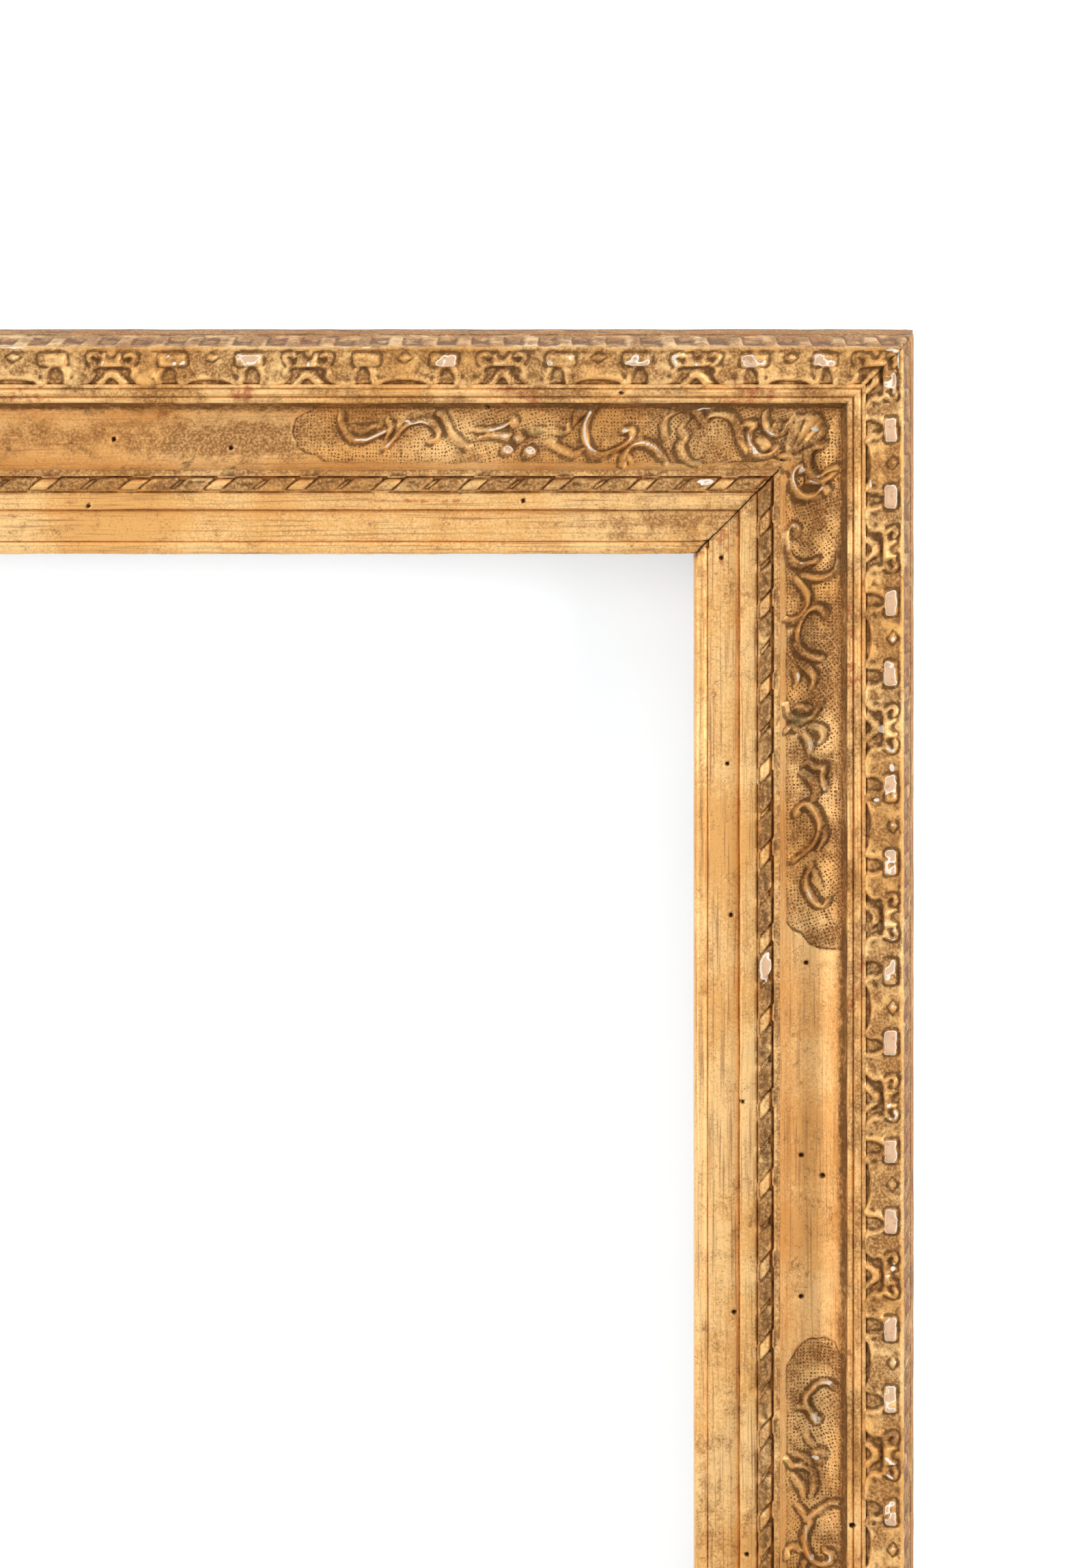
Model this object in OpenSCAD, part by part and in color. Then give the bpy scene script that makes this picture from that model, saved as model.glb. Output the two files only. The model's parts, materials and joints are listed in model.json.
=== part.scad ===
// Carved and gilded picture frame: a half-lapped back frame that carries three mitred mouldings a side

/* [Picture and opening] */
// Width of the picture that the frame holds
picture_w = 920; // [600:10:1200]
// Height of the picture that the frame holds
picture_h = 730; // [500:10:1000]
// Play left on each side of the picture
picture_play = 1.5; // [1:0.5:3]
// Width of the lip that overlaps the picture's edge
lip_w = 6; // [4:0.5:8]
// Thickness of the lip at the sight edge
lip_t = 12; // [9:0.5:14]

/* [Back frame] */
// Thickness of the back frame
back_t = 17; // [15:0.5:20]
// How far the outside of the back frame slopes in, from back to front
back_slope = 2.5; // [1:0.5:4]
// Radius of the pegs through the half-laps
peg_r = 4; // [3:0.5:5]

/* [Sight moulding] */
// Width of the bead at the sight edge
bead_w = 4.4; // [3:0.2:6]
// Width of the flat frieze beside the bead
frieze_w = 10.6; // [8:0.2:14]
// Width of the fillet outside the frieze
fillet_w = 5.9; // [4:0.2:8]
// Width of the ribbon twist
twist_w = 5.1; // [4:0.2:7]
// Width of the narrow fillet beside the hollow
arris_w = 2.3; // [1.6:0.1:3]
// Height of the sight edge above the back frame
sight_rise = 22; // [20:0.5:26]
// How far the sight bead stands above its edge
bead_rise = 1.8; // [1:0.2:2.4]
// How far the frieze stands above the sight edge
frieze_rise = 1; // [0.6:0.2:1.6]
// How far the fillet stands above the frieze
fillet_rise = 2.6; // [1.6:0.2:3.4]
// How far the ribbon twist stands above the fillet
twist_rise = 2; // [1:0.2:2.4]
// How far the narrow fillet stands above the broad one
arris_rise = 2.8; // [2:0.2:3.4]

/* [Hollow moulding] */
// Width of the hollow
hollow_w = 22.2; // [18:0.2:26]
// Depth of the hollow below its two edges
hollow_depth = 10.5; // [7:0.5:12]

/* [Edge moulding] */
// Width of the small round outside the hollow
small_round_w = 2.2; // [1.6:0.1:3]
// Width of the larger round beside it
large_round_w = 2.8; // [2:0.1:3.6]
// Width of the step below the carved band
step_w = 1.7; // [1.2:0.1:2.4]
// Width of the carved band, up to the ridge
band_w = 12.05; // [9:0.25:15]
// Height of the ridge above the back frame
ridge_rise = 33; // [31:0.5:37]
// How far the carved band climbs to the ridge
band_climb = 3; // [2:0.2:4]
// How far the band swells above a straight slope
band_swell = 0.5; // [0.2:0.1:1]
// How far the small round stands above its quirk
small_round_rise = 1.2; // [0.8:0.1:1.6]
// How far the larger round stands above its quirk
large_round_rise = 1.9; // [1.4:0.1:2.4]
// Width of the carved slope behind the ridge
ridge_slope = 5.25; // [4:0.25:8]

/* [Hanger] */
// Thickness of the ring's wire
ring_wire_d = 3; // [2.4:0.2:3.4]
// Clear width inside the ring
ring_inner_w = 21; // [19:0.5:24]
// Length of the ring's straight legs
ring_leg = 6; // [4:0.5:10]
// Width of the strap
strap_w = 14; // [12:0.5:15]
// Length of the strap below the ring's axis
strap_len = 38; // [36:0.5:44]
// Thickness of the strap
strap_t = 1.2; // [1:0.1:1.6]
// Distance from the frame's outer edge to the middle of the ring
hanger_inset = 24; // [22:0.5:26]

/* [Turn buttons] */
// Length of a turn button
button_len = 36; // [30:1:38]
// Width of a turn button
button_w = 10; // [8:0.5:12]
// Thickness of a turn button
button_t = 1.6; // [1.2:0.1:2.2]
// Distance from the rebate's edge to the button's pivot
pivot_inset = 11; // [10:0.5:13]

/* [Hidden] */
$fn = 48;
overrun = 1;
wood_fit = 0.05;
turning_fit = 0.08;
swing_gap = 0.5;
button_gap = 0.3;

// Distances from the sight edge, outwards
frieze_from = bead_w;
fillet_from = frieze_from + frieze_w;
twist_from = fillet_from + fillet_w;
arris_from = twist_from + twist_w;
hollow_from = arris_from + arris_w;
edge_from = hollow_from + hollow_w;
large_round_from = edge_from + small_round_w;
step_from = large_round_from + large_round_w;
band_from = step_from + step_w;
ridge_at = band_from + band_w;
slope_end = ridge_at + ridge_slope;
outer_at = slope_end + back_slope;

// Heights above the wall
sight_top = back_t + sight_rise;
seat_h = sight_top - lip_t;
frieze_top = sight_top + frieze_rise;
fillet_top = frieze_top + fillet_rise;
arris_top = fillet_top + arris_rise;
ridge_top = back_t + ridge_rise;
band_low = ridge_top - band_climb;

sight_w = picture_w + 2 * picture_play - 2 * lip_w;
sight_h = picture_h + 2 * picture_play - 2 * lip_w;
member_w = outer_at - lip_w;
centre_drop = sight_h / 2 + lip_w + member_w / 2;

// Shallow steps and grooves that part one member of the mouldings from the next
quirk_drop = 0.8;
quirk_w = 0.4;
hollow_edge_drop = 0.4;
round_quirk_drop = 0.9;
bow_steps = 8;
hollow_steps = 18;
frieze_swell = 0.25;

// Fixings
lap_depth = back_t / 2;
lap_peg_shares = [[0.3, 0.7], [0.7, 0.3]];
nail_place_shares = [-0.46, -0.15, 0.15, 0.46];
nail_r = 1.1;
nail_bite = 12;
nail_head_r = 3;
nail_head_t = 1.2;
nail_sink = 0.3;
tip_gap = 0.3;
sight_nail_at = (lip_w + hollow_from) / 2;
hollow_nail_at = (hollow_from + edge_from) / 2;
edge_nail_at = (edge_from + slope_end) / 2;
nail_rows = [sight_nail_at, hollow_nail_at, edge_nail_at];

ring_r = ring_wire_d / 2;
ring_bend_r = 3;
ring_half_w = ring_inner_w / 2 + ring_r;
ring_reach = ring_bend_r + ring_leg + ring_half_w + ring_r;
eye_r = ring_r + turning_fit;
eye_outer_r = eye_r + strap_t;
hanger_lift = strap_t + swing_gap + ring_r;
hanger_pocket_depth = hanger_lift + eye_outer_r + swing_gap;
hanger_at = outer_at - hanger_inset;
hanger_height_share = 0.372;
hanger_margin = 2;
strap_screw_shares = [0.32, 0.8];
hanger_axis_y = hanger_lift - hanger_pocket_depth;

screw_r = 1.6;
screw_bite = 8;
screw_head_r = 3;
screw_head_h = 1.8;
screw_dome_r = (screw_head_r * screw_head_r + screw_head_h * screw_head_h) / (2 * screw_head_h);
screw_slot_w = 0.8;
screw_slot_depth = 0.7;

button_place_shares = [0.28, 0, -0.28];
button_pocket_depth = 2 * button_gap + button_t + screw_head_h + swing_gap;
button_pocket_margin = 0.7;
button_at = lip_w + pivot_inset;

// Quarter turns of each side, clockwise from the top as seen from the front
function quarter_turns(side) = side == "top" ? 0 : side == "right" ? 1 : side == "bottom" ? 2 : 3;
function is_rail(side) = side == "top" || side == "bottom";
function half_length(side) = (is_rail(side) ? sight_w : sight_h) / 2;
function half_across(side) = (is_rail(side) ? sight_h : sight_w) / 2;

// Points of a half ellipse between two distances, whose ends are at two heights
function bow(from, to, low, high, rise, steps) = [
    for (i = [0:steps])
        let (share = (1 - cos(180 * i / steps)) / 2)
        [from + (to - from) * share, low + (high - low) * share + rise * sin(180 * i / steps)]
];

// Puts a solid drawn along X, with the sight edge at zero and outwards up, on one side of the frame
module on_side(side) {
    translate([0, 0, -centre_drop])
        rotate([0, 90 * quarter_turns(side), 0])
            translate([0, 0, half_across(side)])
                children();
}

// Places children on the back of a stile: to is -1 for the left and 1 for the right
module on_stile(to, at, height) {
    translate([to * (sight_w / 2 + at), 0, height - centre_drop])
        children();
}

// Turns a section drawn as distance and height into a bar along X
module bar(points, half) {
    rotate([180, -90, 0])
        translate([0, 0, -half])
            linear_extrude(2 * half)
                polygon(points);
}

// A bar whose two ends are cut to the mitre
module mitred_bar(points, half, from, to) {
    inner = from - overrun;
    outer = to + overrun;
    intersection() {
        bar(points, half + outer);
        rotate([90, 0, 0])
            translate([0, 0, -overrun])
                linear_extrude(ridge_top + 2 * overrun)
                    polygon([
                        [-half - inner, inner], [half + inner, inner],
                        [half + outer, outer], [-half - outer, outer]
                    ]);
    }
}

// Blind holes for the nails, in the lower side of a moulding
module nail_holes(side, at) {
    for (share = nail_place_shares)
        translate([2 * half_length(side) * share, overrun, at])
            rotate([90, 0, 0])
                cylinder(r = nail_r + wood_fit, h = overrun + back_t + nail_bite + tip_gap);
}

module moulding(side, points, from, to, nail_at) {
    on_side(side)
        difference() {
            mitred_bar(points, half_length(side), from, to);
            nail_holes(side, nail_at);
        }
}

module sight_moulding(side) {
    points = concat(
        [[lip_w, back_t], [lip_w, seat_h], [0, seat_h]],
        bow(0, frieze_from, sight_top, sight_top, bead_rise, bow_steps),
        bow(frieze_from, fillet_from - quirk_w, frieze_top, frieze_top, frieze_swell, bow_steps),
        [[fillet_from, frieze_top - quirk_drop], [fillet_from, fillet_top], [twist_from, fillet_top]],
        bow(twist_from, arris_from, fillet_top - quirk_drop, fillet_top - quirk_drop,
            twist_rise + quirk_drop, bow_steps),
        [[arris_from, arris_top], [hollow_from, arris_top - hollow_edge_drop], [hollow_from, back_t]]
    );
    color("goldenrod")
        moulding(side, points, 0, hollow_from, sight_nail_at);
}

module hollow_moulding(side) {
    inner_top = arris_top - hollow_edge_drop;
    outer_top = band_low - hollow_edge_drop;
    points = concat(
        [[hollow_from, back_t]],
        bow(hollow_from, edge_from, inner_top, outer_top, -hollow_depth, hollow_steps),
        [[edge_from, back_t]]
    );
    color("darkgoldenrod")
        moulding(side, points, hollow_from, edge_from, hollow_nail_at);
}

module edge_moulding(side) {
    round_low = band_low - round_quirk_drop;
    points = concat(
        [[edge_from, back_t]],
        bow(edge_from, large_round_from, round_low, round_low, small_round_rise, bow_steps),
        bow(large_round_from, step_from, round_low, round_low, large_round_rise, bow_steps),
        [[step_from, band_low], [band_from - quirk_w, band_low], [band_from, band_low - quirk_drop]],
        bow(band_from, ridge_at, band_low, ridge_top, band_swell, bow_steps),
        [[slope_end, back_t]]
    );
    color("goldenrod")
        moulding(side, points, edge_from, slope_end, edge_nail_at);
}

// A back member in section, with square ends that follow the outer slope of its neighbours
module back_member(side) {
    half = half_length(side);
    intersection() {
        bar([[lip_w, 0], [outer_at, 0], [slope_end, back_t], [lip_w, back_t]], half + outer_at);
        translate([0, 0, lip_w - overrun])
            linear_extrude(member_w + 2 * overrun)
                polygon([
                    [-half - outer_at, 0], [half + outer_at, 0],
                    [half + slope_end, -back_t], [-half - slope_end, -back_t]
                ]);
    }
}

// What a half-lap takes away beyond the rebate's corners, from one depth towards the wall
module lap_cut(side, from_y) {
    for (end = [0, 1])
        mirror([end, 0, 0])
            translate([half_length(side) + lip_w, from_y, 0])
                cube([member_w + overrun, back_t, outer_at + overrun]);
}

module lap_peg_places(side) {
    for (end = [-1, 1], shares = lap_peg_shares)
        translate([end * (half_length(side) + lip_w + member_w * shares[0]), 0, lip_w + member_w * shares[1]])
            children();
}

module member_holes(side) {
    for (at = nail_rows, share = nail_place_shares)
        translate([2 * half_length(side) * share, overrun, at])
            rotate([90, 0, 0]) {
                cylinder(r = nail_r + wood_fit, h = back_t + 2 * overrun);
                cylinder(r = nail_head_r + wood_fit, h = overrun + nail_sink + nail_head_t);
            }
    lap_peg_places(side)
        translate([0, overrun, 0])
            rotate([90, 0, 0])
                cylinder(r = peg_r + wood_fit, h = back_t + 2 * overrun);
}

module back_rail(side) {
    color("saddlebrown")
        on_side(side)
            difference() {
                back_member(side);
                lap_cut(side, -lap_depth);
                member_holes(side);
            }
}

// A round-headed screw that points to the front, driven into wood whose face is at the origin
module round_screw(above, bite) {
    rotate([90, 0, 0])
        translate([0, 0, -above])
            cylinder(r = screw_r, h = above + bite);
    translate([0, above, 0])
        difference() {
            intersection() {
                translate([0, screw_head_h - screw_dome_r, 0])
                    sphere(r = screw_dome_r);
                translate([-screw_dome_r, 0, -screw_dome_r])
                    cube([2 * screw_dome_r, screw_head_h + overrun, 2 * screw_dome_r]);
            }
            translate([-screw_dome_r, screw_head_h - screw_slot_depth, -screw_slot_w / 2])
                cube([2 * screw_dome_r, screw_slot_depth + overrun, screw_slot_w]);
        }
}

module screw_hole(from_y, bite) {
    translate([0, from_y + overrun, 0])
        rotate([90, 0, 0])
            cylinder(r = screw_r + wood_fit, h = overrun + bite + tip_gap);
}

module hanger_place(to) {
    on_stile(to, hanger_at, sight_h * hanger_height_share)
        children();
}

module strap_screw_places() {
    for (share = strap_screw_shares)
        translate([0, -hanger_pocket_depth, -strap_len * share])
            children();
}

module hanger_pocket() {
    half = ring_half_w + ring_r + hanger_margin;
    top = ring_reach + hanger_margin;
    low = strap_len + hanger_margin;
    translate([-half, -hanger_pocket_depth, -low])
        cube([2 * half, hanger_pocket_depth + overrun, low + top]);
    strap_screw_places()
        screw_hole(0, screw_bite);
}

module button_places(to) {
    for (share = button_place_shares)
        on_stile(to, button_at, sight_h * share)
            children();
}

module button_pocket() {
    translate([0, overrun, 0])
        rotate([90, 0, 0])
            cylinder(r = button_len / 2 + button_pocket_margin, h = overrun + button_pocket_depth);
    screw_hole(-button_pocket_depth, screw_bite);
}

module back_stile(side, to) {
    color("peru")
        difference() {
            on_side(side)
                difference() {
                    back_member(side);
                    lap_cut(side, -lap_depth - back_t);
                    member_holes(side);
                }
            hanger_place(to)
                hanger_pocket();
            button_places(to)
                button_pocket();
        }
}

module lap_pegs() {
    color("burlywood")
        for (side = ["top", "bottom"])
            on_side(side)
                lap_peg_places(side)
                    rotate([90, 0, 0])
                        cylinder(r = peg_r, h = back_t);
}

module moulding_nails() {
    color("dimgray")
        for (side = ["top", "right", "bottom", "left"])
            on_side(side)
                for (at = nail_rows, share = nail_place_shares)
                    translate([2 * half_length(side) * share, -nail_sink, at])
                        rotate([90, 0, 0]) {
                            cylinder(r = nail_r, h = back_t + nail_bite - nail_sink);
                            cylinder(r = nail_head_r, h = nail_head_t);
                        }
}

module hanger_strap(to) {
    color("silver")
        hanger_place(to)
            difference() {
                union() {
                    translate([-strap_w / 2, -hanger_pocket_depth, -strap_len])
                        cube([strap_w, strap_t, strap_len]);
                    translate([-strap_w / 2, hanger_axis_y, 0])
                        rotate([0, 90, 0])
                            cylinder(r = eye_outer_r, h = strap_w);
                }
                translate([-strap_w, hanger_axis_y, 0])
                    rotate([0, 90, 0])
                        cylinder(r = eye_r, h = 2 * strap_w);
                strap_screw_places()
                    rotate([90, 0, 0])
                        translate([0, 0, -strap_t - overrun])
                            cylinder(r = screw_r + turning_fit, h = strap_t + 2 * overrun);
            }
}

// A quarter or half turn of wire in the plane of the ring
module wire_turn(radius, start, sweep) {
    rotate([90, 0, 0])
        rotate([0, 0, start])
            rotate_extrude(angle = sweep)
                translate([radius, 0])
                    circle(r = ring_r);
}

module hanger_ring(to) {
    bar_half = ring_half_w - ring_bend_r;
    color("gray")
        hanger_place(to)
            translate([0, hanger_axis_y, 0]) {
                translate([-bar_half, 0, 0])
                    rotate([0, 90, 0])
                        cylinder(r = ring_r, h = 2 * bar_half);
                for (end = [-1, 1]) {
                    translate([end * bar_half, 0, -ring_bend_r])
                        wire_turn(ring_bend_r, end > 0 ? 0 : 90, 90);
                    translate([end * ring_half_w, 0, -ring_bend_r - ring_leg])
                        cylinder(r = ring_r, h = ring_leg);
                }
                translate([0, 0, -ring_bend_r - ring_leg])
                    wire_turn(ring_half_w, 180, 180);
            }
}

module hanger_screws() {
    color("darkgray")
        for (to = [-1, 1])
            hanger_place(to)
                strap_screw_places()
                    round_screw(strap_t, screw_bite);
}

module turn_button(to, share) {
    flat_half = (button_len - button_w) / 2;
    color("gold")
        on_stile(to, button_at, sight_h * share)
            translate([0, button_gap - button_pocket_depth, 0])
                difference() {
                    union() {
                        translate([-button_w / 2, 0, -flat_half])
                            cube([button_w, button_t, 2 * flat_half]);
                        for (end = [-1, 1])
                            translate([0, button_t, end * flat_half])
                                rotate([90, 0, 0])
                                    cylinder(r = button_w / 2, h = button_t);
                    }
                    translate([0, button_t + overrun, 0])
                        rotate([90, 0, 0])
                            cylinder(r = screw_r + turning_fit, h = button_t + 2 * overrun);
                }
}

module turn_button_screws() {
    color("khaki")
        for (to = [-1, 1])
            button_places(to)
                translate([0, -button_pocket_depth, 0])
                    round_screw(button_t + 2 * button_gap, screw_bite);
}

back_rail("top");  // back_rail_top
back_rail("bottom");  // back_rail_bottom
back_stile("left", -1);  // back_stile_left
back_stile("right", 1);  // back_stile_right
sight_moulding("top");  // sight_moulding_top
sight_moulding("right");  // sight_moulding_right
sight_moulding("bottom");  // sight_moulding_bottom
sight_moulding("left");  // sight_moulding_left
hollow_moulding("top");  // hollow_moulding_top
hollow_moulding("right");  // hollow_moulding_right
hollow_moulding("bottom");  // hollow_moulding_bottom
hollow_moulding("left");  // hollow_moulding_left
edge_moulding("top");  // edge_moulding_top
edge_moulding("right");  // edge_moulding_right
edge_moulding("bottom");  // edge_moulding_bottom
edge_moulding("left");  // edge_moulding_left
lap_pegs();
moulding_nails();
hanger_strap(-1);  // hanger_strap_left
hanger_strap(1);  // hanger_strap_right
hanger_ring(-1);  // hanger_ring_left
hanger_ring(1);  // hanger_ring_right
hanger_screws();
turn_button(-1, button_place_shares[0]);  // turn_button_left_top
turn_button(-1, button_place_shares[1]);  // turn_button_left_middle
turn_button(-1, button_place_shares[2]);  // turn_button_left_bottom
turn_button(1, button_place_shares[0]);  // turn_button_right_top
turn_button(1, button_place_shares[1]);  // turn_button_right_middle
turn_button(1, button_place_shares[2]);  // turn_button_right_bottom
turn_button_screws();
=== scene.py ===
# Gilded picture frame: carved mouldings, finishes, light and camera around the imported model
import json
import math

import bpy
import numpy as np
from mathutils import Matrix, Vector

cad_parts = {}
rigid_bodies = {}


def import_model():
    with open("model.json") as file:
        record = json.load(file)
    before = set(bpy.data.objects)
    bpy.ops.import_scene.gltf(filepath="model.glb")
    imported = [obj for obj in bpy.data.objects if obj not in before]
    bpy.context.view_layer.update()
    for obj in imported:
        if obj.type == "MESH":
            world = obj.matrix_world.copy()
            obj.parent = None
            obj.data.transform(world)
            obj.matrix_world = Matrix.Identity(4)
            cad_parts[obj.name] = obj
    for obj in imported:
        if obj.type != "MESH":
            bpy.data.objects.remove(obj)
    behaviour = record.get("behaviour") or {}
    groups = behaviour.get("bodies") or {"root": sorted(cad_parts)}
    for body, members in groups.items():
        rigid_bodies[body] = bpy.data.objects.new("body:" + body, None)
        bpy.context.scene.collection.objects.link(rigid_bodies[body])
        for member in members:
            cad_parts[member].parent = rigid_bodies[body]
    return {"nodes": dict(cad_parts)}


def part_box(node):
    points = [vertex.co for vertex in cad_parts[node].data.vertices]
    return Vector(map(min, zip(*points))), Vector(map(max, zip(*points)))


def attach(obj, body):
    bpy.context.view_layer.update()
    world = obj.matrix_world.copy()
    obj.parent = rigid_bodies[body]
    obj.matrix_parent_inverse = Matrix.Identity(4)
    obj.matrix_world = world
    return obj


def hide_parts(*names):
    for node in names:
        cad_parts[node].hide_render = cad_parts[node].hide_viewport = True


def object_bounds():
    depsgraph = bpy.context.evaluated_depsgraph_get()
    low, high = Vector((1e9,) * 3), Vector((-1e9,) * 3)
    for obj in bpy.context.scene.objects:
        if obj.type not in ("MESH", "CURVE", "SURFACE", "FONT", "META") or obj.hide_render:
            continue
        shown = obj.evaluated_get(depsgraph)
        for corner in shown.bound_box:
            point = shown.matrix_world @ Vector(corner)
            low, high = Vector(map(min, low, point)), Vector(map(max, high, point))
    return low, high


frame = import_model()
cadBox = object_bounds()
mm = 0.001

# The photograph shows only the top right corner, square on, and these place its pixels on the frame
photo = {
    "width": 1596,
    "height": 2296,
    "pixelsPerMm": 4.39,  # at the height of the ridge
    "ridgeHeight": 50,  # mm from the wall
    "distance": 1300,  # mm from the lens to the ridge
    "squareOn": (798, 719),  # the pixel straight in front of the lens
    "sightCorner": (1019.2, 812.2),  # where the opening's corner would be if it stood as high as the ridge
}

# Heights from the wall of what the measured pixels show, in mm
heights = {
    "holes": 43, "flats": 41, "twist": 43, "twistWear": 43.5, "cove": 40, "leftEdge": 45, "band": 48.5,
    "edge": 49,
}

# Half sizes of the opening and the middle of the frame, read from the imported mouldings, in mm
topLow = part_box("sight_moulding_top")[0]
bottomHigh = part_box("sight_moulding_bottom")[1]
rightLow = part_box("sight_moulding_right")[0]
middleZ = (topLow[2] + bottomHigh[2]) / 2 / mm
sightHalfWide = rightLow[0] / mm
sightHalfHigh = topLow[2] / mm - middleZ


def toLinear(hexColour):
    # sRGB hex to the linear values that the shaders take
    channels = [int(hexColour[i:i + 2], 16) / 255 for i in (1, 3, 5)]
    return tuple(c / 12.92 if c <= 0.04045 else ((c + 0.055) / 1.055) ** 2.4 for c in channels) + (1.0,)


def addNode(tree, kind, inputs=None, **settings):
    # adds a node, sets its settings, and links or sets its inputs, which go by name or number
    node = tree.nodes.new("ShaderNode" + kind)
    for name, value in settings.items():
        setattr(node, name, value)
    for name, value in (inputs or {}).items():
        if isinstance(name, int):
            socket = node.inputs[name]
        else:
            socket = [s for s in node.inputs if s.name == name and s.enabled][0]
        if isinstance(value, bpy.types.Node):
            tree.links.new([o for o in value.outputs if o.enabled][0], socket)
        elif isinstance(value, tuple) and isinstance(value[0], bpy.types.Node):
            tree.links.new(value[0].outputs[value[1]], socket)
        else:
            socket.default_value = value
    return node


def newMaterial(name):
    material = bpy.data.materials.new(name)
    material.use_nodes = True
    material.node_tree.nodes.clear()
    return material, material.node_tree


# Places on the frame
def besideCorner(px, py, high):
    # mm right of and above the opening's top right corner, for a pixel at a height from the wall
    nearer = photo["distance"] / (photo["distance"] + photo["ridgeHeight"] - high)
    trueX = photo["squareOn"][0] + (px - photo["squareOn"][0]) / nearer
    trueY = photo["squareOn"][1] + (py - photo["squareOn"][1]) / nearer
    scale = photo["pixelsPerMm"]
    return (trueX - photo["sightCorner"][0]) / scale, (photo["sightCorner"][1] - trueY) / scale


# run: the way along a side; out: away from the opening; shown: the sign of the half in the photograph
sides = {
    "top": {"kind": "rail", "run": (1, 0), "out": (0, 1), "shown": 1, "seed": 1},
    "right": {"kind": "stile", "run": (0, -1), "out": (1, 0), "shown": -1, "seed": 2},
    "bottom": {"kind": "rail", "run": (-1, 0), "out": (0, -1), "shown": 0, "seed": 3},
    "left": {"kind": "stile", "run": (0, 1), "out": (-1, 0), "shown": 0, "seed": 4},
}
halves = {"rail": (sightHalfWide, sightHalfHigh), "stile": (sightHalfHigh, sightHalfWide)}
for side in sides.values():
    side["half"], side["across"] = halves[side["kind"]]


def alongSide(sideName, pixel, high):
    # distance from the middle of a side, for a pixel counted along it in the photograph
    if sides[sideName]["kind"] == "rail":
        return sightHalfWide + besideCorner(pixel, 0, high)[0]
    return sightHalfHigh + besideCorner(0, pixel, high)[1]


def inPhoto(sideName, s):
    return sides[sideName]["shown"] * s > 0


def fromMitre(sideName, s, u):
    return sides[sideName]["half"] + u - np.abs(s)


# Small tools for the carving, all in mm
def smoothStep(low, high, value):
    share = np.clip((value - low) / (high - low), 0, 1)
    return share * share * (3 - 2 * share)


def softNoise(x, y, cell, seed):
    # a smooth random field between -1 and 1, whose bumps are about one cell wide
    table = np.random.default_rng(seed).uniform(-1, 1, (128, 128))
    gx, gy = np.broadcast_arrays(np.asarray(x) / cell + 1000, np.asarray(y) / cell + 1000)
    ix, iy = np.floor(gx).astype(int), np.floor(gy).astype(int)
    fx, fy = gx - ix, gy - iy
    fx, fy = fx * fx * (3 - 2 * fx), fy * fy * (3 - 2 * fy)
    low = table[ix % 128, iy % 128] * (1 - fx) + table[(ix + 1) % 128, iy % 128] * fx
    high = table[ix % 128, (iy + 1) % 128] * (1 - fx) + table[(ix + 1) % 128, (iy + 1) % 128] * fx
    return low * (1 - fy) + high * fy


def bow(start, end, low, high, rise, steps):
    # points of a half ellipse between two distances, whose ends are at two heights
    turns = np.linspace(0, math.pi, steps + 1)
    shares = (1 - np.cos(turns)) / 2
    return [(start + (end - start) * s, low + (high - low) * s + rise * math.sin(a))
            for s, a in zip(shares, turns)]


def evenLine(start, end, steps):
    shares = np.linspace(0, 1, steps + 1)
    return [(start[0] + (end[0] - start[0]) * s, start[1] + (end[1] - start[1]) * s) for s in shares]


def evenly(points, steps):
    # the same line with its points spread evenly along its length
    points = np.array(points, float)
    run = np.concatenate([[0], np.cumsum(np.hypot(*np.diff(points, axis=0).T))])
    at = np.linspace(0, run[-1], steps + 1)
    return list(zip(np.interp(at, run, points[:, 0]), np.interp(at, run, points[:, 1])))


def smoothPath(points, perSpan=6):
    # a curve through given points
    points = np.array(points, float)
    ends = np.vstack([2 * points[0] - points[1], points, 2 * points[-1] - points[-2]])
    path = []
    for i in range(len(points) - 1):
        a, b, c, d = ends[i:i + 4]
        for t in np.linspace(0, 1, perSpan, endpoint=False):
            path.append(0.5 * (2 * b + (c - a) * t + (2 * a - 5 * b + 4 * c - d) * t ** 2
                               + (3 * b - a - 3 * c + d) * t ** 3))
    path.append(points[-1])
    return np.array(path)


def nearestOnPath(x, y, path):
    # distance to a path, the side it is on (left of travel is positive) and how far along it, from 0 to 1
    best = np.full(x.shape, 1e9)
    side = np.zeros(x.shape)
    along = np.zeros(x.shape)
    lengths = np.hypot(*np.diff(path, axis=0).T)
    run = np.concatenate([[0], np.cumsum(lengths)])
    for i, (a, b) in enumerate(zip(path[:-1], path[1:])):
        dx, dy = b - a
        share = np.clip(((x - a[0]) * dx + (y - a[1]) * dy) / max(dx * dx + dy * dy, 1e-9), 0, 1)
        ox, oy = x - a[0] - share * dx, y - a[1] - share * dy
        away = np.hypot(ox, oy)
        closer = away < best
        best = np.where(closer, away, best)
        side = np.where(closer, np.sign(dx * (y - a[1]) - dy * (x - a[0])), side)
        along = np.where(closer, (run[i] + share * lengths[i]) / run[-1], along)
    return best, side, along


def insideBy(x, y, outline):
    # distance to a closed outline, positive inside it
    outline = np.array(outline, float)
    closed = np.vstack([outline, outline[:1]])
    away = nearestOnPath(x, y, closed)[0]
    inside = np.zeros(x.shape, bool)
    for (ax, ay), (bx, by) in zip(closed[:-1], closed[1:]):
        crosses = (ay > y) != (by > y)
        atX = ax + (y - ay) * (bx - ax) / (by - ay if by != ay else 1e-9)
        inside ^= crosses & (x < atX)
    return np.where(inside, away, -away)


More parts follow.
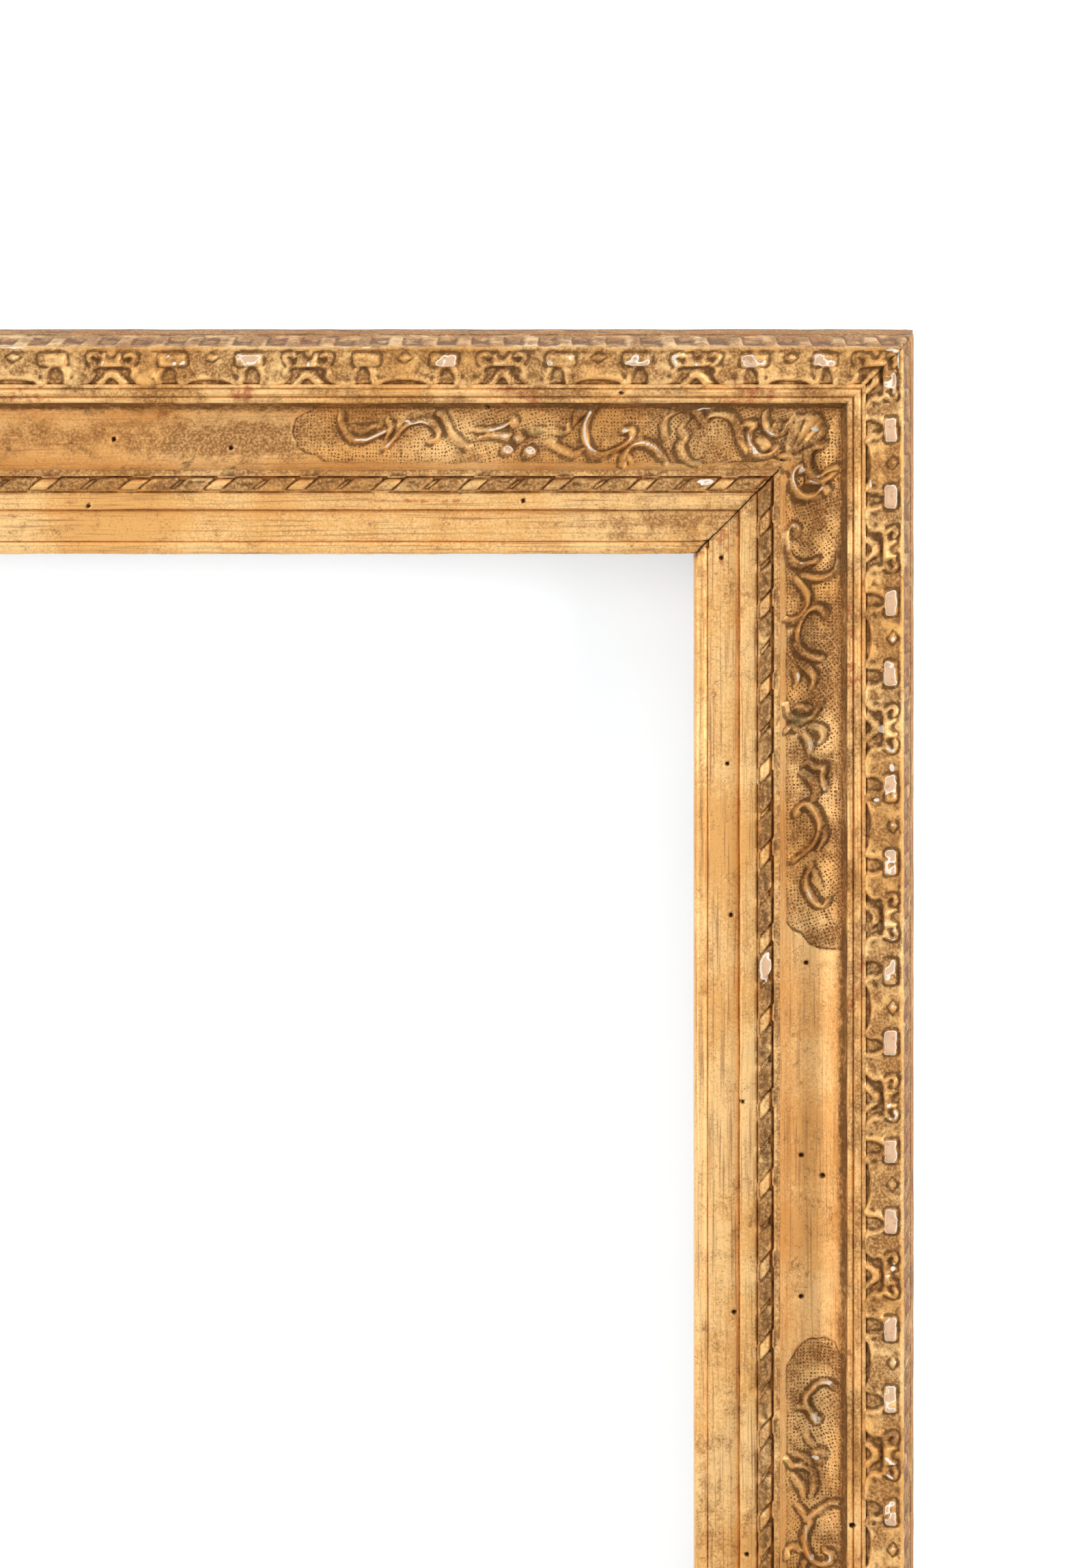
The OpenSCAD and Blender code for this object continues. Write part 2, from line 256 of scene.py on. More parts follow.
def strokeRelief(relief, x, y, points, wide, tall, rim=0, ends=(0.5, 0.5)):
    # raises one carved stroke: a round ridge, or a thin crest that drops on one side and fades behind
    path = smoothPath(points)
    reach = 2 * wide + 1
    near = ((x > path[:, 0].min() - reach) & (x < path[:, 0].max() + reach)
            & (y > path[:, 1].min() - reach) & (y < path[:, 1].max() + reach))
    if not near.any():
        return
    away, side, along = nearestOnPath(x[near], y[near], path)
    swell = np.interp(along, [0, 0.5, 1], [ends[0], 1, ends[1]])
    if rim:
        q = away * side * rim
        shape = 0.45 * smoothStep(-2 * wide * swell, 0.1, q) + 0.55 * np.exp(-((q - 0.05) / 0.6) ** 2)
        shape = shape * smoothStep(1.45, 0.2, q)
    else:
        shape = np.sqrt(np.clip(1 - (away / (wide * swell)) ** 2, 0, 1))
    relief[near] = np.maximum(relief[near], shape * tall * (0.6 + 0.4 * swell))


def blobRelief(relief, x, y, at, radii, tall, turn=0):
    # raises a smooth rounded lump
    dx, dy = x - at[0], y - at[1]
    c, s = math.cos(turn), math.sin(turn)
    away = np.hypot((dx * c + dy * s) / radii[0], (dy * c - dx * s) / radii[1])
    relief[:] = np.maximum(relief, tall * np.clip(1 - away ** 3, 0, 1) ** 0.6)


def softened(field, times):
    # the field with its small shapes smoothed away
    for _ in range(times):
        field = (np.roll(field, 1, 0) + 2 * field + np.roll(field, -1, 0)) / 4
        padded = np.pad(field, ((0, 0), (1, 1)), mode="edge")
        field = (padded[:, :-2] + 2 * field + padded[:, 2:]) / 4
    return field


def rowsAlong(reach, zones, farZones, coarse, shownFirst=False):
    # where the rows stand on the half in the photograph and the far half: zones are (from, to, spacing)
    halves = []
    for group in (zones, farZones):
        half = [0.0]
        while half[-1] < reach:
            step = coarse
            for start, end, spacing in group:
                if start - coarse <= half[-1] <= end:
                    step = min(step, spacing)
            half.append(half[-1] + step)
        halves.append(np.array(half) / half[-1])
    rows = np.concatenate([-halves[1][:0:-1], halves[0]])
    return -rows[::-1] if shownFirst else rows


# A moulding is a grid whose rows run across the section and meet the mitre at its two ends
def sectionFrame(section):
    section = np.array(section, float)
    before, after = np.roll(section, 1, 0), np.roll(section, -1, 0)
    before[0], after[-1] = section[-2], section[1]  # the first and last points are one point
    tangent = after - before
    tangent /= np.maximum(np.hypot(*tangent.T), 1e-9)[:, None]
    run = np.concatenate([[0], np.cumsum(np.hypot(*np.diff(section, axis=0).T))])
    return section[:, 0], section[:, 1], -tangent[:, 1], tangent[:, 0], run


def hollowness(u, h, run, reach=0.9):
    # how deep each point of the section lies in a groove
    def at(places):
        return np.interp(places, run, u), np.interp(places, run, h)
    beforeU, beforeH = at(run - reach)
    afterU, afterH = at(run + reach)
    tangentU, tangentH = afterU - beforeU, afterH - beforeH
    size = np.maximum(np.hypot(tangentU, tangentH), 1e-9)
    return ((beforeU + afterU) / 2 - u) * -tangentH / size + ((beforeH + afterH) / 2 - h) * tangentU / size


# How dirt and painted shade gather in grooves, at the foot of forms and in broad hollows, and how edges and
# crests are rubbed and lightened with a painted highlight: the depth or height in mm at which each is full,
# and its amount
ageing = {
    "groove": (0.28, 0.65), "foot": (0.10, 1), "bay": (0.6, 0.25), "profileEdge": (0.3, 0.5),
    "crest": (0.2, 1),
}
meshing = {"weld": 0.000005, "smoothUnder": 78}  # in metres and degrees


def buildMoulding(name, sideName, section, face, rows, carve, material):
    # face holds the first and last columns that are carved
    side = sides[sideName]
    u, h, normalU, normalH, run = sectionFrame(section)
    t = rows[:, None]
    s = t * (side["half"] + u[None, :])
    relief, marks = carve(sideName, s, np.broadcast_to(u, s.shape), np.broadcast_to(run, s.shape))
    columns = np.arange(len(u))
    relief = relief * ((columns >= face[0]) & (columns <= len(u) - 1 + face[1]))
    inner = u[None, :] + normalU[None, :] * relief
    outer = h[None, :] + normalH[None, :] * relief
    s = t * (side["half"] + inner) + marks.pop("slide", 0)
    lie = hollowness(u, h, run)[None, :]
    near, wide = softened(relief, 2), softened(relief, 16)
    groove, foot, bay, profileEdge, crest = [
        ageing[place][1] * np.clip(rise / ageing[place][0], 0, 1) for place, rise in (
            ("groove", lie), ("foot", near - relief), ("bay", wide - relief), ("profileEdge", -lie),
            ("crest", relief - softened(relief, 4)))]
    # dirt and painted shade: darker in the section's grooves, at the foot of carved forms and in broad
    # hollows, by their depth, with soot that is also painted shade
    marks["recess"] = groove + marks.pop("footDirtAndShade", 1) * (foot + bay) + marks.pop("sootAndShade", 0)
    marks["worn"] = softened(marks["worn"], 1)
    # crests and convex edges lose tone: rubbed wear and a painted highlight
    marks["toned"] = softened(marks["toned"], 1) - marks.pop("rubAmount", 0.5) * (profileEdge + crest)

    bpy.ops.object.select_all(action="DESELECT")
    bpy.ops.mesh.primitive_grid_add(x_subdivisions=len(u) - 1, y_subdivisions=len(rows) - 1, size=2)
    piece = bpy.context.object
    piece.name = name
    mesh = piece.data
    grid = np.empty(len(mesh.vertices) * 3)
    mesh.vertices.foreach_get("co", grid)
    grid = grid.reshape(-1, 3)
    column = np.rint((grid[:, 0] + 1) / 2 * (len(u) - 1)).astype(int)
    row = np.rint((grid[:, 1] + 1) / 2 * (len(rows) - 1)).astype(int)
    runX, runZ = side["run"]
    outX, outZ = side["out"]
    away = side["across"] + inner
    places = np.stack([runX * s + outX * away, -outer, middleZ + runZ * s + outZ * away], axis=-1) * mm
    mesh.vertices.foreach_set("co", places[row, column].ravel())
    for mark, values in marks.items():
        layer = mesh.attributes.new(mark, "FLOAT", "POINT")
        layer.data.foreach_set("value", np.clip(values, 0, 1)[row, column].astype(np.float32))
    lay = np.stack([s, np.broadcast_to(run, s.shape), np.full(s.shape, side["seed"] * 40.0)], axis=-1) * mm
    layer = mesh.attributes.new("lay", "FLOAT_VECTOR", "POINT")
    layer.data.foreach_set("vector", lay[row, column].astype(np.float32).ravel())
    mesh.update()

    bpy.ops.object.mode_set(mode="EDIT")
    bpy.ops.mesh.select_all(action="SELECT")
    bpy.ops.mesh.remove_doubles(threshold=meshing["weld"])
    bpy.ops.mesh.select_all(action="SELECT")
    bpy.ops.mesh.fill_holes(sides=0)  # the two mitred ends
    bpy.ops.mesh.select_all(action="SELECT")
    bpy.ops.mesh.normals_make_consistent(inside=False)
    bpy.ops.object.mode_set(mode="OBJECT")
    bpy.ops.object.shade_smooth_by_angle(angle=math.radians(meshing["smoothUnder"]))
    mesh.materials.append(material)
    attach(piece, "frame")
    return piece


# Sections of the three mouldings, as distances from the sight edge and heights from the wall, in mm
section = {
    "lipWide": 6, "backThick": 17, "seat": 27,
    "bead": (0, 4.4), "sightTop": 39, "beadRise": 1.8,
    "frieze": (4.4, 14.6), "friezeTop": 40, "friezeSwell": 0.25, "friezeQuirk": 0.8,
    "fillet": (15.0, 20.9), "filletTop": 42.6,
    "twist": (20.9, 26.0), "twistLow": 41.8, "twistRise": 2.8,
    "arris": (26.0, 28.3), "arrisTop": 45.4, "arrisDrop": 0.4,
    "hollow": (28.3, 50.5), "hollowOuterTop": 46.6, "hollowDeep": 10.5,
    "smallRound": (50.5, 52.7), "largeRound": (52.7, 55.5), "roundLow": 46.1,
    "smallRise": 1.2, "largeRise": 1.9,
    "step": (55.5, 56.8), "stepTop": 47, "stepQuirk": 0.8,
    "band": (57.2, 69.25), "ridgeTop": 50, "bandSwell": 0.5,
    "slopeEnd": 74.5, "outerEdge": 77.0,
}


def sightSection():
    p = section
    base, lip, top = p["backThick"], p["lipWide"], p["sightTop"]
    fillet, filletTop = p["fillet"], p["filletTop"]
    arris, arrisTop = p["arris"], p["arrisTop"]
    return (
        [(lip, base), (lip, p["seat"]), (0, p["seat"])]
        + bow(*p["bead"], top, top, p["beadRise"], 8)
        + evenly(bow(*p["frieze"], p["friezeTop"], p["friezeTop"], p["friezeSwell"], 12), 15)
        + [(fillet[0], p["friezeTop"] - p["friezeQuirk"]), (fillet[0] + 0.02, filletTop - 0.35)]
        + evenLine((fillet[0] + 0.35, filletTop), (fillet[1] - 0.3, filletTop), 7)
        + bow(*p["twist"], p["twistLow"], p["twistLow"], p["twistRise"], 12)
        + [(arris[0] + 0.02, arrisTop - 0.4), (arris[0] + 0.35, arrisTop),
           (arris[1] - 0.5, arrisTop - 0.25), (arris[1], arrisTop - p["arrisDrop"])]
        + [(arris[1], base), (lip, base)]
    )


def hollowSection(fineColumns=False):
    p = section
    low, high = p["hollow"]
    curve = bow(low, high, p["arrisTop"] - p["arrisDrop"], p["hollowOuterTop"], -p["hollowDeep"], 120)
    columns = 66 if fineColumns else 50
    return [(low, p["backThick"])] + evenly(curve, columns) + [(high, p["backThick"]), (low, p["backThick"])]


def edgeSection():
    p = section
    low, step = p["roundLow"], p["stepTop"]
    band, ridgeTop = p["band"], p["ridgeTop"]
    return (
        [(p["smallRound"][0], p["backThick"])]
        + bow(*p["smallRound"], low, low, p["smallRise"], 5)
        + bow(*p["largeRound"], low, low, p["largeRise"], 5)[1:]
        + [(p["step"][0] + 0.05, step - 0.2), (p["step"][0] + 0.3, step), (p["step"][1], step),
           (band[0], step - p["stepQuirk"])]
        + evenly(bow(*band, step, ridgeTop, p["bandSwell"], 30), 30)
        + evenLine((band[1] + 0.12, ridgeTop - 0.5), (p["slopeEnd"], p["backThick"]), 9)
        + [(p["smallRound"][0], p["backThick"])]
    )


def facingSection():
    # a skin of gesso and gold on the back frame's outer slope
    p = section
    low, high = (p["outerEdge"], 0), (p["slopeEnd"], p["backThick"])
    return ([(high[0] - 0.3, high[1])] + evenLine((high[0] + 0.25, high[1]), (low[0] + 0.25, low[1]), 9)
            + [(low[0] - 0.3, low[1]), (high[0] - 0.3, high[1])])


def coveHeight(u):
    points = np.array(hollowSection()[1:-2])
    return np.interp(u, points[:, 0], points[:, 1])


def inCove(px, py):
    # corner distances of a pixel that shows the hollow's surface
    high = heights["cove"]
    for _ in range(3):
        x, y = besideCorner(px, py, high)
        high = coveHeight(max(x, y)) + 0.8  # about half the height of the carving
    return x, y


# Worm holes, worn patches and other marks that stand where the photograph shows them
wormHole = {
    "radius": 0.75, "deep": 1.6,
    # how far across the section a hole may stand to be cut in each moulding
    "sight": (0, 28.2), "hollow": (28.5, 50.3), "edge": (50.6, 69),
}
wormHoles = [
    (166, 643), (338, 655), (129, 741), (426, 591), (712, 598), (766, 733), (910, 575), (1057, 817),
    (1066, 1119), (1071, 1341), (1181, 1410), (1087, 1614), (1174, 1692), (1204, 1722), (1076, 1924),
    (1174, 1899), (1094, 2277), (1246, 2229),
]
markNames = ("worn", "toned", "punch", "patina", "rubbed", "pit", "wiped")


def blankMarks(s):
    return {name: np.zeros(s.shape) for name in markNames}


def deepen(marks, name, amount):
    marks[name] = np.maximum(marks[name], amount)


def cornerPlane(sideName, s, u):
    # distances right of and above the opening's nearest corner, mirrored onto the top right one
    beyond = np.abs(s) - sides[sideName]["half"]
    return (beyond, u) if sides[sideName]["kind"] == "rail" else (u, beyond)


def sinkWormHoles(sideName, s, u, relief, marks, moulding):
    # beetle holes stand only where the photograph shows them, on the top rail and the right stile
    seen = inPhoto(sideName, s)
    if not seen.any():
        return
    x, y = cornerPlane(sideName, s, u)
    onRail = sides[sideName]["kind"] == "rail"
    low, high = wormHole[moulding]
    for px, py in wormHoles:
        holeX, holeY = inCove(px, py) if moulding == "hollow" else besideCorner(px, py, heights["holes"])
        if low <= max(holeX, holeY) <= high and (holeY > holeX) == onRail:
            pit = np.exp(-(((x - holeX) ** 2 + (y - holeY) ** 2) / wormHole["radius"] ** 2) ** 2) * seen
            relief -= wormHole["deep"] * pit
            deepen(marks, "pit", pit)


def markPatches(sideName, s, u, marks, patches, high, mark="worn"):
    # each patch: pixel, half sizes in pixels and depth; darkening (tarnish and painted shade) fades out
    # softly, the rest has an edge
    seen = inPhoto(sideName, s)
    if not seen.any():
        return
    x, y = cornerPlane(sideName, s, u)
    scale = photo["pixelsPerMm"]
    for px, py, wide, tall, depth in patches:
        atX, atY = besideCorner(px, py, high)
        away = np.hypot((x - atX) / (wide / scale), (y - atY) / (tall / scale))
        away += 0.3 * softNoise(x, y, 1.3, 77)
        if mark == "toned":
            marks[mark] = marks[mark] + depth * np.exp(-away ** 2) * seen
        else:
            deepen(marks, mark, depth * smoothStep(1.3, 0.7, away) * seen)


# Sight moulding: bead, frieze, fillet and ribbon twist
twist = {
    # pixels of the broad straps along the top rail and down the stile
    "rail": [1056, 941, 814, 695, 569, 441, 321, 198, 64],
    "stile": [2221, 2098, 1970, 1853, 1733, 1618, 1494, 1377, 1251, 1125, 1010, 886],
    "pitch": 28.0,
    "slant": 1.05,
    "broadHalf": 3.1,  # half width of a broad strap
    "thinHalf": 0.75,
    "edge": 0.72,  # how steeply a lozenge's ends rise
    # how dark the raised lozenges are made: soot and painted shade
    "sootAndShade": {"rail": 0.4, "stile": 0.62},
    "crack": 0.27,  # how far each end stands back from the open mitre
}
# pixel, half sizes in pixels and depth of each bare, reddened, or darkened patch, whose darkening is tarnish
# and painted shade
sightWear = [
    (1121, 1415, 6, 24, 0.95), (1122, 1041, 3, 20, 0.5), (1028, 707, 18, 3, 0.9), (1012, 830, 4, 6, 0.5),
    (1095, 2150, 8, 24, 0.3),
]
# darkening near the corner: tarnish and painted shade
sightTarnishAndShade = [(985, 765, 150, 60, 0.5), (1070, 880, 40, 90, 0.2)]
redFlecks = [
    (620, 733, 100, 4, 1.0), (880, 772, 26, 2.5, 1.0), (1050, 1013, 3, 4, 1.3), (1044, 1030, 3, 4, 1.3),
    (1052, 792, 4, 9, 1.2), (1066, 806, 3, 8, 1.2), (1128, 706, 5, 4, 1.0), (1064, 782, 16, 10, 1.0),
    (1052, 830, 9, 18, 1.0),
]


def strapPhase(sideName):
    # distances from the middle of a side and the count of broad straps at them
    pixels = twist[sides[sideName]["kind"]]
    knots = sorted(alongSide(sideName, pixel, heights["twist"]) for pixel in pixels)
    unseen = int(round(knots[0] / twist["pitch"] - 0.5))
    start = [knots[0] * (i + 0.5) / (unseen + 0.5) for i in range(unseen)]
    knots = np.array(start + knots)
    counts = np.arange(len(knots)) + 0.5
    gap = (knots[-1] - knots[0]) / (len(knots) - 1)
    knots = np.concatenate([[-knots[0]], knots, [knots[-1] + gap, knots[-1] + 2 * gap]])
    counts = np.concatenate([[-0.5], counts, [counts[-1] + 1, counts[-1] + 2]])
    return knots, counts


def carveSight(sideName, s, u, run):
    seed, kind = sides[sideName]["seed"], sides[sideName]["kind"]
    marks = blankMarks(s)
    away = np.abs(s)
    relief = (0.10 * softNoise(s, u, 14, seed) + 0.05 * softNoise(s, u * 3, 4, seed + 10)
              + 0.03 * softNoise(s, u, 1.8, seed + 11))

    # ribbon twist
    low, high = section["twist"]
    fromMiddle = u - (low + high) / 2
    v = fromMiddle / ((high - low) / 2)
    knots, counts = strapPhase(sideName)
    slanted = away - twist["slant"] * fromMiddle + 0.35 * softNoise(s, u, 6, seed + 20)
    phase = np.interp(slanted, knots, counts)
    # distances from the middle of the nearest broad strap, and from its edge and the thin strap's
    gap = np.abs(phase - 0.5 - np.round(phase - 0.5)) * twist["pitch"]
    fromBroad = gap - twist["broadHalf"]
    fromThin = twist["pitch"] / 2 - gap - twist["thinHalf"]
    ends = np.minimum(fromBroad, fromThin)
    inTwist = np.abs(v) < 1.02
    flanks = smoothStep(1.0, 0.66, np.abs(v))
    raised = np.minimum(smoothStep(-0.1, 1.1, ends * twist["edge"]), flanks)
    valley = np.exp(-((ends * twist["edge"] - 0.05) / 0.38) ** 2) * flanks
    strap = smoothStep(0.15, -0.6, ends)
    relief += inTwist * (0.75 * raised - 0.55 * (1 - raised) * (np.abs(v) < 0.9) - 0.45 * valley
                         + 0.45 * strap * (gap < 6) - 0.35 * np.exp(-((np.abs(v) - 0.9) / 0.16) ** 2)
                         + 0.16 * softNoise(s / 5, u, 0.9, seed + 21) * raised)
    marks["wiped"] = np.where(inTwist, 0.5, 1.0)
    dirty = 0.95 + 0.35 * softNoise(s, u, 9, seed + 22) + 0.45 * softNoise(s / 8, u * 1.4, 0.9, seed + 23)
    # lozenges are tarnished, straps lightly toned, and the valleys round the lozenge ends darkened with
    # painted shade
    marks["toned"] = inTwist * (1.15 * dirty * raised + 0.8 * valley + 0.4 * strap)
    marks["rubAmount"] = 0.15
    marks["rubbed"] = 0.3 * smoothStep(0, 0.6, softNoise(s, u * 2, 30, seed + 30)) * (u > 4.5)
    flat = (u > 0) & (u < low)
    marks["toned"] += flat * 0.3 * smoothStep(0.0, 0.9, softNoise(s / 14, u * 1.6, 2.5, seed + 31))
    if sideName == "right":
        marks["toned"] += flat * 0.25 * smoothStep(200, 30, away)
    # darker from the arris outwards; the raised lozenges carry soot and painted shade
    marks["toned"] += 0.9 * (u > 26.2)
    marks["sootAndShade"] = twist["sootAndShade"][kind] * inTwist * raised + 0.2 * (u > 26.2)

    # the open mitre: both ends stand back a little and follow one jagged line
    fromEnd = fromMitre(sideName, s, u)
    cracked = inPhoto(sideName, s)
    jag = 0.45 * softNoise(u, 0 * u, 2.2, 5) + 0.2 * softNoise(u, 0 * u, 0.8, 6)
    back = np.where(cracked, twist["crack"] - jag * sides[sideName]["shown"], 0.05)
    marks["slide"] = -np.sign(s) * back * np.exp(-fromEnd / 2.2)
    chipped = cracked * np.exp(-(fromEnd / 2.5) ** 2) * (u < 4.6)
    relief -= 0.8 * chipped * (0.7 + 0.5 * softNoise(s, u, 1.5, 8))
    deepen(marks, "toned", 0.6 * cracked * np.exp(-(fromEnd / 0.7) ** 2))

    sinkWormHoles(sideName, s, u, relief, marks, "sight")
    markPatches(sideName, s, u, marks, sightWear, heights["twistWear"])
    markPatches(sideName, s, u, marks, redFlecks, heights["flats"], "rubbed")
    markPatches(sideName, s, u, marks, sightTarnishAndShade, heights["flats"], "toned")
    return relief, marks


# Hollow moulding: punched panels with scrolls, leaves and a shell in each corner
# each stroke: pixels along its middle, half width and height in mm, side of the rim, swell of its two ends
cornerStrokes = [
    ([(1031, 622), (1039, 609), (1054, 605), (1069, 609), (1079, 621), (1083, 638)],
     1.2, 1.9, 1, (0.5, 0.9)),
    ([(1104, 625), (1099, 631), (1097, 645), (1101, 658), (1109, 667), (1121, 669), (1131, 663),
      (1135, 655)], 1.9, 2.3, 1, (0.8, 0.6)),
    ([(1104, 622), (1096, 620), (1088, 624), (1084, 634), (1086, 648), (1094, 662)],
      1.2, 1.5, 0, (0.7, 0.6)),
    ([(1121, 604), (1120, 618), (1126, 631), (1137, 637), (1148, 632), (1152, 621)],
      1.0, 1.8, 0, (0.7, 0.8)),
    ([(1207, 652), (1193, 657), (1186, 665), (1184, 678), (1187, 690), (1195, 698), (1204, 696),
      (1212, 689), (1222, 685)], 1.6, 1.7, 1, (0.7, 0.8)),
    ([(1177, 689), (1171, 684), (1163, 688), (1159, 700), (1162, 713), (1171, 723), (1181, 727),
      (1193, 725), (1202, 717), (1207, 712), (1213, 721)], 1.7, 2.1, 1, (0.8, 0.7)),
    ([(1186, 704), (1199, 705), (1212, 700), (1220, 694)], 1.6, 1.5, 0, (0.6, 0.6)),
    ([(1140, 682), (1110, 681), (1075, 683), (1038, 688)], 1.5, 0.9, 0, (1.0, 0.4)),
    ([(1136, 688), (1135, 715), (1134, 755), (1131, 800)], 1.3, 0.9, 0, (1.0, 0.4)),
]
topStrokes = [
    ([(974, 641), (972, 622), (980, 608), (996, 600), (1015, 600), (1029, 616)],
      1.3, 1.8, -1, (0.6, 0.6)),
    ([(1006, 615), (997, 628), (1003, 640), (996, 652), (999, 664), (1010, 676), (1023, 682)],
      1.5, 1.7, 0, (0.4, 0.5)),
    ([(868, 599), (858, 620), (857, 641), (864, 658), (879, 666), (897, 661), (914, 652), (925, 640),
      (924, 630), (916, 627)], 1.5, 2.2, 1, (0.8, 0.5)),
    ([(911, 682), (913, 667), (925, 653), (939, 649), (952, 652), (966, 663), (976, 677)],
      1.4, 1.8, -1, (0.4, 0.4)),
    ([(916, 665), (926, 676)], 1.2, 1.0, 0, (0.7, 0.5)),
    ([(862, 601), (848, 606), (840, 622)], 1.6, 1.3, 0, (0.6, 0.3)),
    ([(858, 655), (842, 664), (826, 660), (812, 652), (798, 650)], 1.5, 1.3, 0, (0.5, 0.3)),
    ([(806, 630), (818, 634), (831, 632), (832, 621)], 0.7, 1.1, 0, (0.4, 0.8)),
    ([(565, 655), (578, 641), (590, 626), (604, 617), (619, 615), (633, 621), (642, 633), (638, 644),
      (631, 646)], 1.9, 2.3, -1, (0.8, 0.5)),
    ([(645, 607), (654, 620), (660, 634), (671, 645), (684, 654)], 1.3, 1.5, 1, (0.7, 0.8)),
    ([(498, 611), (503, 629), (516, 642), (534, 644), (551, 637), (565, 630)], 1.5, 2.1, -1, (0.9, 0.5)),
    ([(512, 626), (530, 630), (548, 624)], 1.3, 1.3, 0, (0.4, 0.5)),
    ([(566, 640), (572, 627), (567, 615)], 1.2, 1.4, 0, (0.5, 0.5)),
    ([(690, 629), (711, 630), (735, 625), (752, 614)], 0.7, 1.4, 0, (0.7, 0.7)),
    ([(703, 640), (722, 636), (742, 641)], 1.3, 1.2, 0, (0.5, 0.6)),
]
topLumps = [  # pixel, half sizes in mm, height in mm
    (760, 641, 1.9, 1.8, 1.9), (752, 619, 1.5, 2.0, 1.7), (740, 638, 2.0, 1.2, 1.4),
    (743, 659, 2.1, 1.9, 1.8), (776, 661, 2.2, 1.9, 1.8), (785, 632, 3.0, 1.5, 1.7),
    (806, 645, 2.2, 1.3, 1.1), (686, 654, 1.4, 1.1, 1.6), (826, 660, 2.0, 1.2, 1.2),
    (915, 630, 1.1, 1.1, 1.9), (645, 605, 1.5, 1.1, 1.6), (633, 645, 1.3, 1.1, 1.9),
    (1097, 622, 1.2, 1.0, 1.9), (911, 681, 1.4, 1.2, 1.2),
]
cornerLumps = [
    (1116, 650, 3.3, 3.0, 1.7), (1137, 626, 1.9, 1.9, 1.2), (1149, 677, 3.2, 3.2, 2.4),
    (1134, 679, 3.2, 1.8, 1.6), (1212, 720, 1.2, 1.2, 1.9), (1172, 689, 1.1, 1.0, 1.9),
]
fan = {  # a fluted leaf that opens from the boss towards the corner
    "outline": [
        (1150, 668), (1151, 650), (1155, 630), (1154, 614), (1161, 606), (1172, 609), (1183, 606),
        (1197, 608), (1204, 616), (1202, 622), (1209, 628), (1210, 638), (1205, 643), (1208, 650),
        (1199, 655), (1188, 662), (1184, 673), (1183, 684), (1172, 686), (1160, 688),
    ],
    "heart": (1155, 669), "grooves": (81, 66, 50, 27), "tall": 1.8, "grooveDeep": 0.75,
    "crack": [(1176, 650), (1175, 672), (1178, 700), (1177, 722)],
}
stileStrokes = [
    ([(1167, 781), (1165, 773), (1157, 772), (1148, 785), (1149, 801), (1157, 817), (1171, 826),
      (1184, 825), (1196, 821)], 1.5, 2.2, 1, (0.8, 0.5)),
    ([(1230, 806), (1228, 822), (1221, 837), (1200, 846), (1176, 843)], 1.2, 1.7, -1, (0.5, 0.5)),
    ([(1165, 847), (1177, 860), (1184, 877), (1177, 895), (1162, 908), (1149, 906)],
      1.4, 1.7, 1, (0.5, 0.5)),
    ([(1210, 897), (1196, 890), (1182, 896), (1170, 914), (1166, 936), (1172, 952), (1187, 961),
      (1203, 964)], 1.5, 2.2, 1, (0.6, 0.6)),
    ([(1163, 978), (1168, 991), (1166, 1004)], 1.0, 1.3, 0, (0.5, 0.5)),
    ([(1184, 980), (1192, 992), (1189, 1006)], 1.2, 1.4, 0, (0.5, 0.6)),
    ([(1149, 1032), (1156, 1049), (1172, 1055), (1190, 1049), (1200, 1034)], 1.5, 1.8, -1, (0.6, 0.6)),
    ([(1166, 1036), (1184, 1038)], 1.4, 1.3, 0, (0.6, 0.6)),
    ([(1149, 1072), (1158, 1064), (1168, 1068)], 1.2, 1.5, 0, (0.6, 0.6)),
    ([(1189, 1063), (1202, 1068), (1206, 1079), (1200, 1087)], 1.3, 1.6, 0, (0.6, 0.6)),
    ([(1177, 1075), (1186, 1087), (1187, 1102)], 1.4, 1.5, 0, (0.6, 0.4)),
    ([(1177, 1120), (1184, 1116), (1194, 1124), (1206, 1124), (1204, 1140), (1209, 1155)],
      1.1, 1.6, 0, (0.5, 0.7)),
    ([(1176, 1130), (1190, 1143), (1198, 1156), (1190, 1172)], 1.8, 1.2, 0, (0.4, 0.6)),
    ([(1165, 1193), (1168, 1184), (1180, 1177), (1193, 1186), (1201, 1204), (1199, 1222), (1189, 1238),
      (1173, 1252), (1163, 1260)], 1.5, 2.2, 1, (0.6, 0.7)),
    ([(1206, 1205), (1208, 1225), (1198, 1245)], 1.0, 1.1, 0, (0.4, 0.4)),
    ([(1188, 1268), (1180, 1288), (1184, 1308), (1195, 1323), (1207, 1326), (1212, 1320)],
      1.3, 2.0, -1, (0.5, 0.9)),
    ([(1191, 1272), (1195, 1290), (1203, 1303)], 1.0, 1.1, 0, (0.5, 0.4)),
]
stileLumps = [
    (1174, 1056, 1.4, 1.3, 1.7), (1162, 909, 1.3, 1.1, 1.6), (1168, 1191, 1.1, 1.1, 1.8),
    (1209, 900, 1.1, 1.1, 1.8),
]
